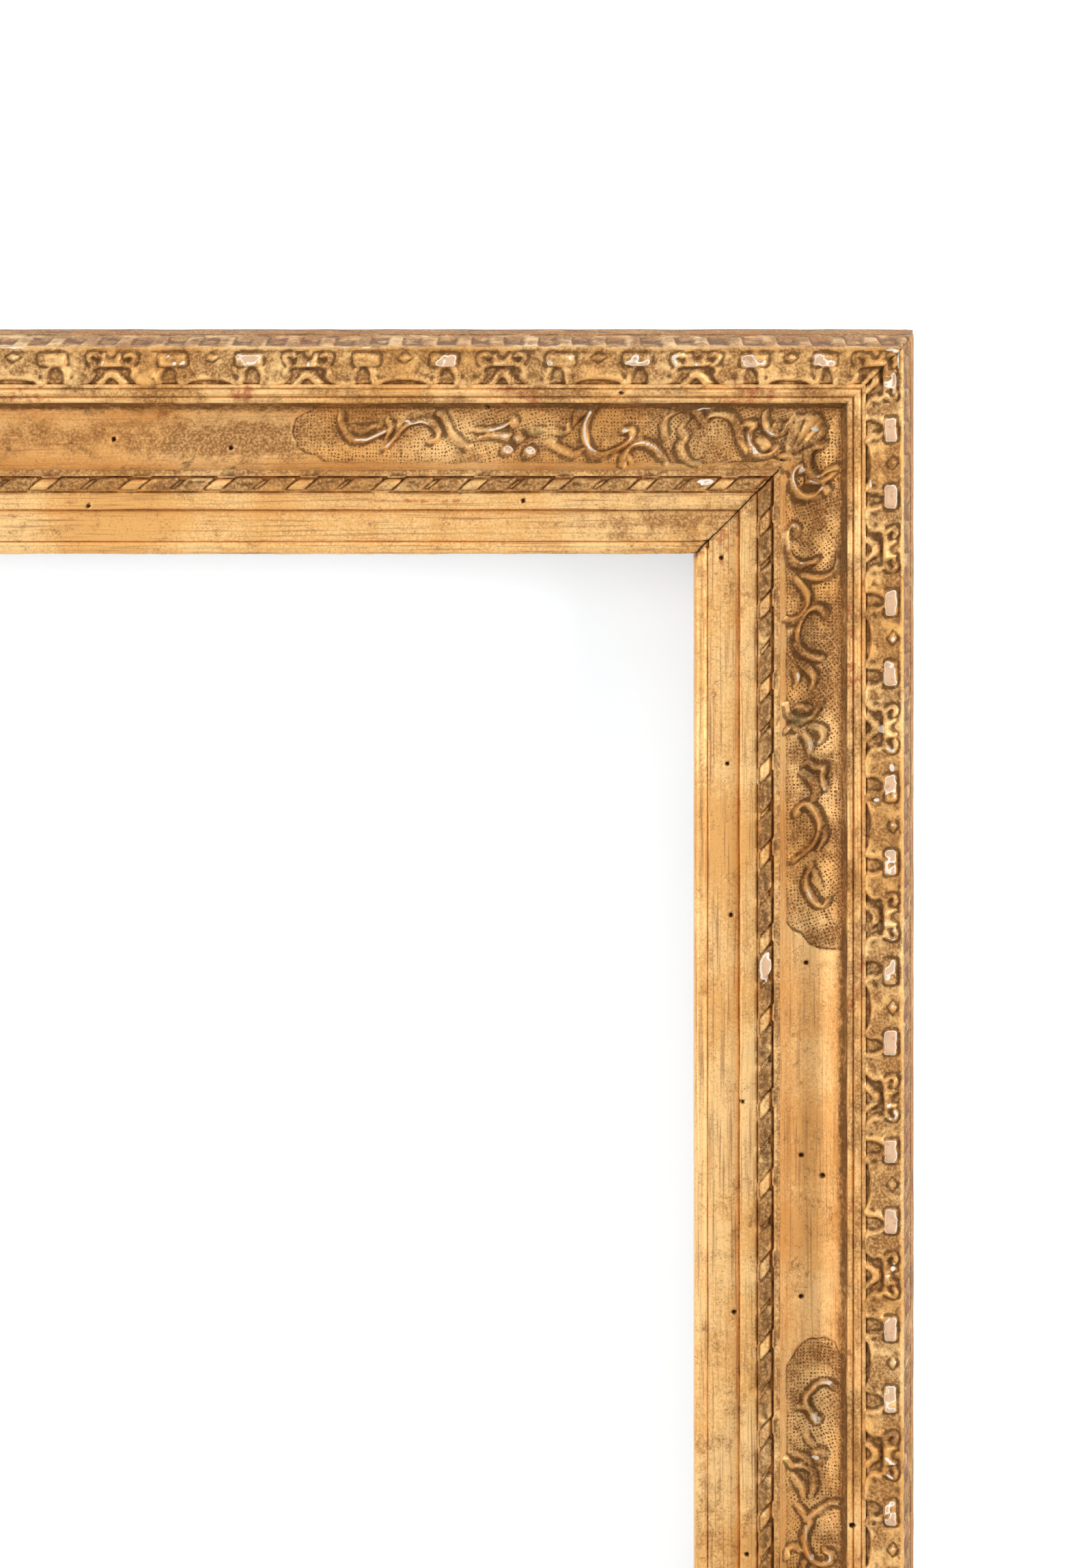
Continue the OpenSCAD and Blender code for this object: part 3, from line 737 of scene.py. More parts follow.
centreStrokes = [  # measured down the stile, whose middle lies just below the picture
    ([(1221, 2031), (1213, 2025), (1200, 2026), (1190, 2034), (1182, 2043), (1179, 2054), (1186, 2066),
      (1192, 2080)], 1.2, 1.9, 1, (0.7, 0.5)),
    ([(1166, 2061), (1175, 2060), (1186, 2066)], 1.1, 1.4, 0, (0.5, 0.6)),
    ([(1195, 2084), (1201, 2077)], 1.0, 1.6, 0, (0.6, 0.6)),
    ([(1180, 2096), (1184, 2108), (1192, 2118)], 0.9, 1.1, 0, (0.4, 0.5)),
    ([(1151, 2136), (1160, 2147), (1173, 2146), (1190, 2156)], 1.3, 1.6, -1, (0.6, 0.6)),
    ([(1166, 2130), (1178, 2136), (1188, 2144)], 1.6, 1.3, 0, (0.5, 0.6)),
    ([(1163, 2162), (1172, 2176), (1177, 2192)], 1.5, 1.4, 0, (0.6, 0.5)),
    ([(1190, 2160), (1192, 2176), (1187, 2192)], 1.3, 1.3, 0, (0.6, 0.4)),
    ([(1168, 2205), (1176, 2215), (1180, 2228)], 1.1, 1.2, 0, (0.6, 0.4)),
    ([(1230, 2203), (1218, 2201), (1206, 2207), (1192, 2217), (1184, 2224)], 1.4, 1.6, -1, (0.7, 0.6)),
    ([(1187, 2230), (1179, 2247), (1179, 2266), (1189, 2284), (1204, 2291), (1216, 2287), (1218, 2277),
      (1209, 2272)], 1.4, 2.2, 1, (0.8, 0.7)),
    ([(1151, 2281), (1153, 2270), (1163, 2266), (1175, 2272)], 1.1, 1.6, 0, (0.9, 0.5)),
    ([(1178, 2288), (1172, 2310), (1178, 2332), (1192, 2344), (1206, 2340), (1210, 2330)],
      1.4, 2.0, 1, (0.5, 0.7)),
    ([(1162, 2330), (1166, 2352), (1178, 2368), (1192, 2372)], 1.2, 1.7, -1, (0.5, 0.7)),
]
centreLumps = [
    (1200, 2128, 2.9, 1.9, 1.7), (1199, 2138, 1.8, 1.4, 1.9), (1192, 2074, 1.5, 1.3, 1.6),
    (1172, 2146, 1.8, 1.5, 1.5), (1187, 2395, 3.6, 3.6, 2.2), (1187, 2379, 2.2, 2.0, 1.7),
    (1168, 2388, 2.2, 1.9, 1.6), (1206, 2388, 2.2, 1.9, 1.6),
]
topPanelEnd = [
    (456, 599), (431, 613), (426, 633), (434, 654), (446, 664), (462, 667), (477, 679), (482, 684),
]
stilePanelEnd = [
    (1147, 1347), (1161, 1363), (1172, 1368), (1184, 1384), (1200, 1391), (1225, 1393),
]
centrePanelEnd = [
    (1145, 2012), (1156, 1993), (1170, 1970), (1184, 1960), (1207, 1958), (1223, 1966), (1230, 1982),
]
punched = {
    "sunk": 0.5, "innerEdge": 30.6, "outerEdge": 49.6,
    "beyond": (20, 60, 90),  # lines inside, outside and past the carving, where the outlines are closed
}
carving = {
    "tall": 1.12,  # every stroke's height is taken this much taller
    "pegHole": (1144, 677), "pegRadius": 0.9, "pegDeep": 2.0, "splitHalf": 0.22, "splitDeep": 0.3,
    "boss": (1149, 677), "bossRadius": 3.2,
    "gouge": 0.4,  # a gouge cut along the foot of each form
    # how much dirt and painted shade gather at the foot of carved forms and in broad hollows, and where the
    # green patina begins
    "footDirtAndShade": 0.95, "patinaFrom": {"rail": 0.35, "stile": 0.1},
}


def panelMask(sideName, s, u):
    # inside the punched panels, by the distance to their edges
    x, y = cornerPlane(sideName, s, u)
    inner, outer, past = punched["beyond"]
    if sides[sideName]["kind"] == "rail":
        end = [inCove(px, py) for px, py in topPanelEnd]
        outline = [(end[0][0], outer)] + end + [(end[-1][0], inner), (past, inner), (past, outer)]
    else:
        end = [inCove(px, py) for px, py in stilePanelEnd]
        outline = [(inner, end[0][1])] + end + [(outer, end[-1][1]), (outer, past), (inner, past)]
    corner = insideBy(x, y, outline)
    end = [inCove(px, py) for px, py in centrePanelEnd]
    past = -sightHalfHigh - 9
    outline = [(inner, end[0][1])] + end + [(outer, end[-1][1]), (outer, past), (inner, past)]
    centre = insideBy(u, np.abs(s) - sightHalfHigh, outline)
    edges = np.minimum(u - punched["innerEdge"], punched["outerEdge"] - u) + 0.3 * softNoise(s, u, 5, 60)
    return np.maximum(corner, centre), edges


def carveHollow(sideName, s, u, run):
    seed, kind = sides[sideName]["seed"], sides[sideName]["kind"]
    marks = blankMarks(s)
    low, high = section["hollow"]
    x, y = cornerPlane(sideName, s, u)
    relief = np.zeros(s.shape)
    sideCarving = {"rail": (topStrokes, topLumps), "stile": (stileStrokes, stileLumps)}
    for (strokes, lumps), across, up in (
        ((cornerStrokes, cornerLumps), x, y),
        (sideCarving[kind], x, y),
        ((centreStrokes, centreLumps), u, np.abs(s) - sightHalfHigh),
    ):
        for points, wide, tall, rim, ends in strokes:
            path = [inCove(*p) for p in points]
            strokeRelief(relief, across, up, path, wide, carving["tall"] * tall, rim, ends)
        for px, py, wide, deep, tall in lumps:
            blobRelief(relief, across, up, inCove(px, py), (wide, deep), tall)

    # fluted leaf in the corner
    cx, cy = inCove(*fan["heart"])
    angle = np.degrees(np.arctan2(y - cy, x - cx))
    reach = np.hypot(x - cx, y - cy)
    flutes = sum(np.exp(-(reach * np.radians(angle - at) / 0.55) ** 2) for at in fan["grooves"])
    lift = fan["tall"] * (0.5 + 0.5 * smoothStep(2, 11, reach))
    lift -= fan["grooveDeep"] * flutes * smoothStep(1, 5, reach)
    inside = insideBy(x, y, [inCove(*p) for p in fan["outline"]])
    relief = np.maximum(relief, smoothStep(-0.1, 0.7, inside) * lift)
    hole = inCove(*carving["pegHole"])
    bored = np.exp(-(np.hypot(x - hole[0], y - hole[1]) / carving["pegRadius"]) ** 4)
    split = nearestOnPath(x, y, np.array([inCove(*p) for p in fan["crack"]]))[0]
    split = np.exp(-(split / carving["splitHalf"]) ** 2)

    panel, edges = panelMask(sideName, s, u)
    ground = smoothStep(-0.1, 0.35, panel) * smoothStep(-0.6, 0.9, edges)
    rough = 0.16 * softNoise(s, u, 5, seed + 1) + 0.08 * softNoise(s, u, 1.8, seed + 2)
    carved = smoothStep(0.05, 0.4, relief)
    crest = smoothStep(0.2, 0.42, relief - softened(relief, 6)) * smoothStep(0.9, 1.4, relief)
    relief = softened(relief * (1 + 0.25 * softNoise(s, u, 3.2, seed + 3)), 2) + rough * (0.5 + carved)
    relief += carving["gouge"] * (relief - softened(relief, 12))
    relief -= punched["sunk"] * ground + carving["pegDeep"] * bored + carving["splitDeep"] * split
    marks["pit"] = np.maximum(bored, 0.45 * split)
    marks["wiped"] = 0.7 * (1 - ground) * (1 - carved)
    relief += 0.07 * softNoise(s / 6, u, 2.5, seed + 4) * (1 - ground)
    marks["punch"] = ground * (1 - smoothStep(0.1, 0.45, relief + punched["sunk"] - rough))
    bossX, bossY = inCove(*carving["boss"])
    boss = np.exp(-(np.hypot(x - bossX, y - bossY) / carving["bossRadius"]) ** 4)
    # the hollow's walls are darkened, the outer one most, and soot laid on it: dirt and painted shade
    wall = smoothStep(46.8, 49.6, u) * 1.2 + smoothStep(30.0, 28.8, u) * 0.2
    marks["toned"] = wall * (0.8 + 0.4 * softNoise(s, u, 9, seed + 5))
    marks["sootAndShade"] = smoothStep(47.4, 49.8, u) * (0.8 + 0.3 * softNoise(s, u, 12, seed + 12))
    # painted shade: on the rails the middle of the hollow is darker
    if kind == "rail":
        marks["toned"] += 0.7 * np.exp(-((u - 39) / 6) ** 2) * (1 - ground)
    marks["toned"] += (0.42 + 0.6 * softNoise(s, u, 5, seed + 6)) * carved * (1 - boss)
    marks["toned"] += (0.42 + 0.5 * softNoise(s, u, 7, seed + 13)) * ground
    marks["footDirtAndShade"] = carving["footDirtAndShade"]
    green = smoothStep(carving["patinaFrom"][kind], 0.8, softNoise(s, u, 8, seed + 7))
    marks["patina"] = carved * green * (1 - boss)
    marks["rubbed"] = 0.2 * smoothStep(0.3, 0.8, softNoise(s, u, 20, seed + 8))
    # whitish lines along the highest crests: worn gesso and a painted highlight
    marks["worn"] = 0.85 * crest * smoothStep(-0.1, 0.5, softNoise(s, u, 7, seed + 9))
    sinkWormHoles(sideName, s, u, relief, marks, "hollow")
    markPatches(sideName, s, u, marks, coveWearAndHighlights, heights["cove"])
    markPatches(sideName, s, u, marks, coveShadePatches, heights["cove"], "toned")
    relief *= np.minimum(1, np.minimum(u - low, high - u) / 0.6)
    return relief, marks


# white patches along scroll rims: worn gesso and painted highlights
coveWearAndHighlights = [
    (1198, 627, 9, 4.5, 0.65), (1097, 643, 2.6, 15, 0.65), (1103, 661, 3, 6, 0.65),
    (1213, 2026, 9, 3, 0.65), (1186, 2044, 2.5, 7, 0.65), (1197, 2081, 4, 5, 0.65),
    (1197, 2138, 8, 4, 0.65), (1181, 2250, 2.5, 16, 0.65), (1190, 2284, 5, 5, 0.65),
    (1208, 2291, 5, 2.5, 0.65), (604, 616, 16, 2.4, 0.6), (1031, 600, 14, 2.4, 0.6),
    (1162, 773, 6, 2.4, 0.65), (1176, 826, 10, 2.4, 0.62),
]
# painted shade: the top rail's hollow darker towards its left
coveShadePatches = [(350, 640, 120, 40, 0.55)]


# Edge moulding: two rounds, the strapwork band, the ridge and the carved slope behind it
strapwork = {
    # pixels along the top rail and down the stile
    "rail": {"diamonds": [1158, 876, 593, 310, 19], "crescents": [1281, 1020, 735, 449, 163]},
    "stile": {"diamonds": [2269, 1996, 1735, 1475, 1211, 936, 678],
              "crescents": [2131, 1869, 1609, 1344, 1065, 804, 556]},
    "half": 32.5,  # from a diamond to the next crescent
    # lower edge of the raised field, from a diamond to a crescent: distance along and height above the quirk
    "lowerEdge": [
        (0, 1.5), (3, 1.4), (6, 0.95), (7.6, 0.4), (8.4, -0.2), (9.4, -0.35), (10.5, 0.1), (11.1, 1.2),
        (11.0, 3.0), (11.5, 4.4), (12.8, 5.3), (14.4, 5.4), (15.8, 4.6), (16.6, 3.2), (17.0, 1.6),
        (16.7, -0.2), (19, -0.4), (22, -0.3), (24.4, 0.4), (25.8, 1.7), (26.3, 2.9), (25.6, 3.7),
        (26.3, 5.0), (28.5, 5.6), (32.5, 5.7),
    ],
    "fishtail": [  # a small forked island below each crescent
        (27.5, -0.3), (28.6, 0.9), (29.9, 2.0), (30.7, 3.6), (32.5, 4.3), (34.3, 3.6), (35.1, 2.0),
        (36.4, 0.9), (37.5, -0.3), (35.4, -0.3), (34.6, 0.9), (33.7, 1.7), (32.5, 2.1), (31.3, 1.7),
        (30.4, 0.9), (29.6, -0.3),
    ],
}
edgeWear = [
    (20, 509, 26, 3, 0.55), (505, 508, 9, 2.2, 0.6), (538, 509, 8, 2.2, 0.6), (1306, 513, 14, 3, 0.6),
    (1315, 530, 2.2, 20, 0.68), (1308, 556, 3.5, 14, 0.9), (1232, 1186, 5, 4, 0.66),
    (1274, 644, 2.2, 5, 0.66), (1276, 711, 2.0, 12, 0.66), (1291, 1068, 6, 7, 0.66),
    (1305, 1125, 4, 6, 0.66), (1283, 1172, 5, 4, 0.66),
]
slopeTabs = {"rail": 11.45, "stile": 11.2, "strapHalf": 2.1}  # pitch of the straps on each kind of side
edgeAge = {  # how dirty and darkened with painted shade, and how bare each kind of side is
    "rail": {"bandDirt": (0.6, 0.4), "bare": 0.6, "slopeDirtAndShade": 0.9, "sootAndShade": 0.3},
    "stile": {"bandDirt": (0.15, 0.85), "bare": 1.7, "slopeDirtAndShade": 1.2, "sootAndShade": 0.6},
}


def bandPhase(sideName):
    # distances from the middle of a side and the count at them: whole at diamonds, half at crescents
    kind = sides[sideName]["kind"]
    diamonds, crescents = [
        sorted(alongSide(sideName, pixel, heights["band"]) for pixel in strapwork[kind][shape])
        for shape in ("diamonds", "crescents")]
    if kind == "rail":
        first = 3  # three more diamonds are out of the picture, the first half a period from the middle
        knots = [(diamonds[0] * (i + 0.5) / (first + 0.5), i) for i in range(first)]
        knots += [(diamonds[0] * i / (first + 0.5), i - 0.5) for i in range(first + 1)]
    else:
        first = 0
        knots = [(0, -0.5)]
    knots += [(d, i + first) for i, d in enumerate(diamonds)]
    knots += [(c, i + first + 0.5) for i, c in enumerate(crescents)]
    knots.sort()
    knots.append((knots[-1][0] + strapwork["half"], knots[-1][1] + 0.5))
    return np.array(knots).T


def carveEdge(sideName, s, u, run):
    seed, kind = sides[sideName]["seed"], sides[sideName]["kind"]
    age = edgeAge[kind]
    marks = blankMarks(s)
    away = np.abs(s)
    low, high = section["band"]
    relief = (0.09 * softNoise(s, u, 12, seed) + 0.05 * softNoise(s / 2, u * 2, 2.5, seed + 1))

    # strapwork band
    knots, counts = bandPhase(sideName)
    bent = away + 0.35 * softNoise(s, u, 9, seed + 2)
    phase = np.interp(bent, knots, counts)
    whole = np.round(phase)
    q = np.abs(phase - whole) * 2 * strapwork["half"]
    v = u - low + 0.25 * softNoise(s, u, 7, seed + 3)
    inBand = (u >= low - 0.01) & (u <= high + 0.01)
    rows, columns = np.nonzero(inBand)
    qb, vb = q[rows, columns], v[rows, columns]
    sb, ub = s[rows, columns], u[rows, columns]
    outline = strapwork["lowerEdge"] + [(36, 5.7), (36, 16), (-4, 16), (-4, 1.5)]
    inside = np.maximum(insideBy(qb, vb, outline), insideBy(qb, vb, strapwork["fishtail"]))
    field = smoothStep(-0.8, 0.3, inside)
    lip = 0.9 * np.exp(-((inside - 0.4) / 1.1) ** 2)
    deep = 0.6 + 0.2 * np.clip(vb, 0, 5.5)
    band = field * (lip - 0.4 * smoothStep(0, 3, inside)) - (1 - field) * deep
    band += 0.24 * softNoise(sb, ub, 3.2, seed + 4) + 0.13 * softNoise(sb, ub, 1.3, seed + 5)
    curl = np.hypot(qb - 9.6, vb - 1.0)
    band += 0.45 * np.exp(-curl ** 2)
    band -= 0.5 * np.exp(-((curl - 1.35) / 0.35) ** 2) * (qb < 11) * (vb > 0.6)
    wornBand = np.zeros(qb.shape)
    marks["rubAmount"] = 0.3
    dirty = 0.8 + 0.5 * softNoise(sb, ub, 5, seed + 6) + 0.45 * softNoise(sb, ub, 1.8, seed + 16)
    everywhere, awayFromRidge = age["bandDirt"]
    # the tone is heavier in the sunk ground outside the raised field, dirt and painted shade, and lighter on
    # its lip
    tonedBand = (dirty - 0.2 * smoothStep(0.3, 0.8, lip) + 0.3 * (1 - field)) * (
        everywhere + awayFromRidge * smoothStep(0.4, 2.0, high - ub))

    # beads and crescents stand in a groove on the field
    rectangle = 1.1 - np.hypot(np.maximum(np.abs(qb - 12.8) - 3.5, 0), np.maximum(np.abs(vb - 7.7) - 1.0, 0))
    diamond = (1 - np.abs(qb) / 2.1 - np.abs(vb - 8.3) / 1.4) * 1.1
    fromCrescent = strapwork["half"] - qb
    middle = 0.8 - np.hypot(np.maximum(fromCrescent - 2.9, 0), np.maximum(np.abs(vb - 7.5) - 1.4, 0))
    middle = np.minimum(middle, np.hypot(fromCrescent, vb - 10.1) - 2.2)
    wingLine = smoothPath([(4.5, 8.9), (6.0, 9.5), (7.6, 8.9), (7.4, 7.5), (6.3, 6.3)])
    wing = 0.85 - nearestOnPath(fromCrescent, vb, wingLine)[0]
    lots = np.random.default_rng(seed + 40).uniform(0, 1, (64, 4))
    wholeBand = whole[rows, columns]
    number = wholeBand.astype(int) * 2 + (phase[rows, columns] > wholeBand) + 30 * (sb > 0)
    lot = lots[number % 64]
    band -= 0.7 * smoothStep(4.2, 6.2, vb) * smoothStep(11.6, 10.2, vb)
    ragged = 0.35 * softNoise(sb, ub, 1.4, seed + 18)
    uneven = 0.4 * softNoise(sb, ub, 2.2, seed + 7) + 0.2 * softNoise(sb, ub, 0.9, seed + 17)
    # beads are rubbed to the wood, worst on the stiles; the smaller forms only to the gesso
    for column, (shape, tall, byLot, bySide, most) in enumerate((
        (rectangle, 2.0, 0.7, 0.5, 1.0), (diamond, 1.7, 0.9, 0.15, 0.7),
        (middle, 1.8, 0.9, 0.15, 0.7), (wing, 1.7, 0.9, 0.15, 0.7),
    )):
        isle = smoothStep(-0.2, 0.75, shape)
        ditch = np.exp(-((shape + 0.4) / 0.35) ** 2)
        bareness = lot[:, column] * byLot + bySide * age["bare"] + uneven
        bare = smoothStep(0.55, 1.1, bareness) * smoothStep(0.05, 0.55, shape + ragged)
        band += tall * isle - 0.6 * ditch * (1 - isle) - 0.25 * smoothStep(0.7, 0.9, bare)
        wornBand = np.maximum(wornBand, most * bare)
        # beads are toned and the ditch round each is darkened with painted shade
        tonedBand = np.maximum(tonedBand, 0.5 * np.maximum(isle, ditch))
    settle = smoothStep(0, 0.8, high - ub) * smoothStep(-0.4, 0.2, ub - low)
    carved = np.zeros(s.shape)
    carved[rows, columns] = band * settle
    relief += softened(carved, 2)
    marks["worn"][rows, columns] = wornBand
    marks["toned"][rows, columns] = tonedBand

    # carved slope behind the ridge: straps between scoops
    down = np.clip((u - high) / (section["slopeEnd"] - high), 0, 1)
    onSlope = u > high + 0.05
    pitch = slopeTabs[kind]
    tab = away / pitch + 0.04 * softNoise(s, u, 15, seed + 9)
    fromStrap = np.abs(tab - np.round(tab)) * pitch
    strap = smoothStep(slopeTabs["strapHalf"] + 0.9, slopeTabs["strapHalf"] - 0.5, fromStrap)
    cup = np.sin(np.pi * np.clip(down * 1.1, 0, 1))
    relief += onSlope * (0.3 * strap * cup - 0.6 * (1 - strap) * cup * smoothStep(0, 0.3, down)
                         + 0.25 * softNoise(s, u * 3, 4, seed + 12) * cup)
    blotch = softNoise(s, u * 2, 4, seed + 8)
    # the slope is darkened, less on the straps than in the scoops: dirt and painted shade
    deepen(marks, "toned", onSlope * (age["slopeDirtAndShade"] - 0.15 * strap + 0.6 * blotch))
    marks["sootAndShade"] = onSlope * age["sootAndShade"]
    fromEnd = fromMitre(sideName, s, u)
    relief -= 0.7 * onSlope * np.exp(-(fromEnd / 1.2) ** 2)  # the corner is rubbed round
    hairline = inPhoto(sideName, s) & (u > section["step"][1]) & (u < high)
    deepen(marks, "pit", 0.7 * hairline * (fromEnd < 0.2))
    # whitish lines along the ridge and the slope's foot: worn gesso and a painted highlight
    ridgeLineWobble = 0.12 * softNoise(s, u, 7, seed + 13) + 0.1 * softNoise(s, u, 1.6, seed + 14)
    deepen(marks, "worn", np.exp(-((u - high - 0.05) / 0.3) ** 2) * (0.42 + ridgeLineWobble))
    deepen(marks, "worn", np.exp(-((u - section["slopeEnd"]) / 0.25) ** 2) * (0.38 + ridgeLineWobble))
    onRounds = u < section["step"][1]
    marks["rubbed"] = (onRounds * 0.8 * smoothStep(-0.1, 0.5, softNoise(s, u, 18, seed + 10))
                       + onSlope * (0.65 - 0.3 * strap))
    marks["toned"] += onRounds * (0.6 + 0.45 * softNoise(s, u * 3, 11, seed + 15))
    marks["wiped"] = 0.8 * onRounds + 0.25 * onSlope
    sinkWormHoles(sideName, s, u, relief, marks, "edge")
    markPatches(sideName, s, u, marks, edgeWear, heights["edge"])
    return relief, marks


def carveFacing(sideName, s, u, run):
    seed = sides[sideName]["seed"]
    marks = blankMarks(s)
    fromEnd = fromMitre(sideName, s, u)
    relief = 0.1 * softNoise(s, run, 8, seed) - 0.7 * np.exp(-(fromEnd / 1.2) ** 2)
    # the facing is darkened all over: tarnish, soot and painted shade
    marks["toned"] = 1.1 + 0.4 * softNoise(s, run, 12, seed + 1)
    marks["sootAndShade"] = 0.5 + 0.3 * softNoise(s, run, 9, seed + 3)
    marks["wiped"] += 0.25
    marks["rubbed"] += 0.6
    marks["worn"] = 0.6 * smoothStep(0.45, 0.8, softNoise(s, run, 6, seed + 2)) * smoothStep(14.5, 17.5, run)
    return relief, marks


# Water gilding over red bole and gesso: leaf with a soft satin gloss, darkened by old dirt and painted shade
# in ragged patches, rubbed to the red, chipped to white gesso and bare wood, lightened on crests with a
# painted highlight, and nearly black with dirt and painted shade in the hollows and holes
gilding = {
    # grime darkens grooves and hollows with dirt and painted shade; void is painted shade in worm holes and
    # the peg hole, and a dark line along cracks
    "gold": "#FBCF8E", "deepGold": "#EAB169", "streak": "#9A6747", "grimeAndShade": "#5E3F21", "toned": "#9B6A3A",
    "bole": "#C06A45", "gesso": "#FCF1DF", "wood": "#E4BB98", "scuff": "#9A6B48", "patina": "#67704E",
    "speck": "#8A5F45", "punch": "#774E27", "holeShade": "#2E2014",
    "metallic": 0.34, "gloss": 0.43, "dirtGloss": 0.66, "specular": 0.12,
    "dotsPerMetre": 860,  # punched dots 1.16 mm apart
}


def punchedDots(tree, place, spots, grain):
    # rows of small uneven dots, laid in patches at three angles
    patches = addNode(tree, "TexVoronoi", {"Vector": place, "Scale": 55}, feature="F1")
    patchTurn = addNode(tree, "SeparateColor", {0: (patches, "Color")})
    snapped = addNode(tree, "Math", {0: patchTurn, 1: 0.34}, operation="SNAP")
    turned = addNode(tree, "VectorRotate", {"Vector": place, "Angle": snapped}, rotation_type="Y_AXIS")
    warp = addNode(tree, "TexNoise", {"Vector": place, "Scale": 300})
    wobble = addNode(tree, "VectorMath", {0: (warp, "Color"), "Scale": 0.0022}, operation="SCALE")
    shifted = addNode(tree, "VectorMath", {0: turned, 1: wobble}, operation="ADD")
    spacing = (gilding["dotsPerMetre"], 0, gilding["dotsPerMetre"])
    cells = addNode(tree, "Mapping", {"Vector": shifted, "Scale": spacing})
    cellPlace = addNode(tree, "VectorMath", {0: cells}, operation="FRACTION")
    centred = addNode(tree, "VectorMath", {0: cellPlace, 1: (0.5, 0, 0.5)}, operation="SUBTRACT")
    reach = addNode(tree, "VectorMath", {0: centred}, operation="LENGTH")
    uneven = addNode(tree, "Math", {0: spots, 1: 0.9, 2: reach}, operation="MULTIPLY_ADD")
    edge = addNode(tree, "Math", {0: grain, 1: 0.5, 2: uneven}, operation="MULTIPLY_ADD")
    return addNode(tree, "MapRange", {"Value": edge, "From Min": 0.96, "From Max": 0.82},
                   interpolation_type="SMOOTHSTEP")


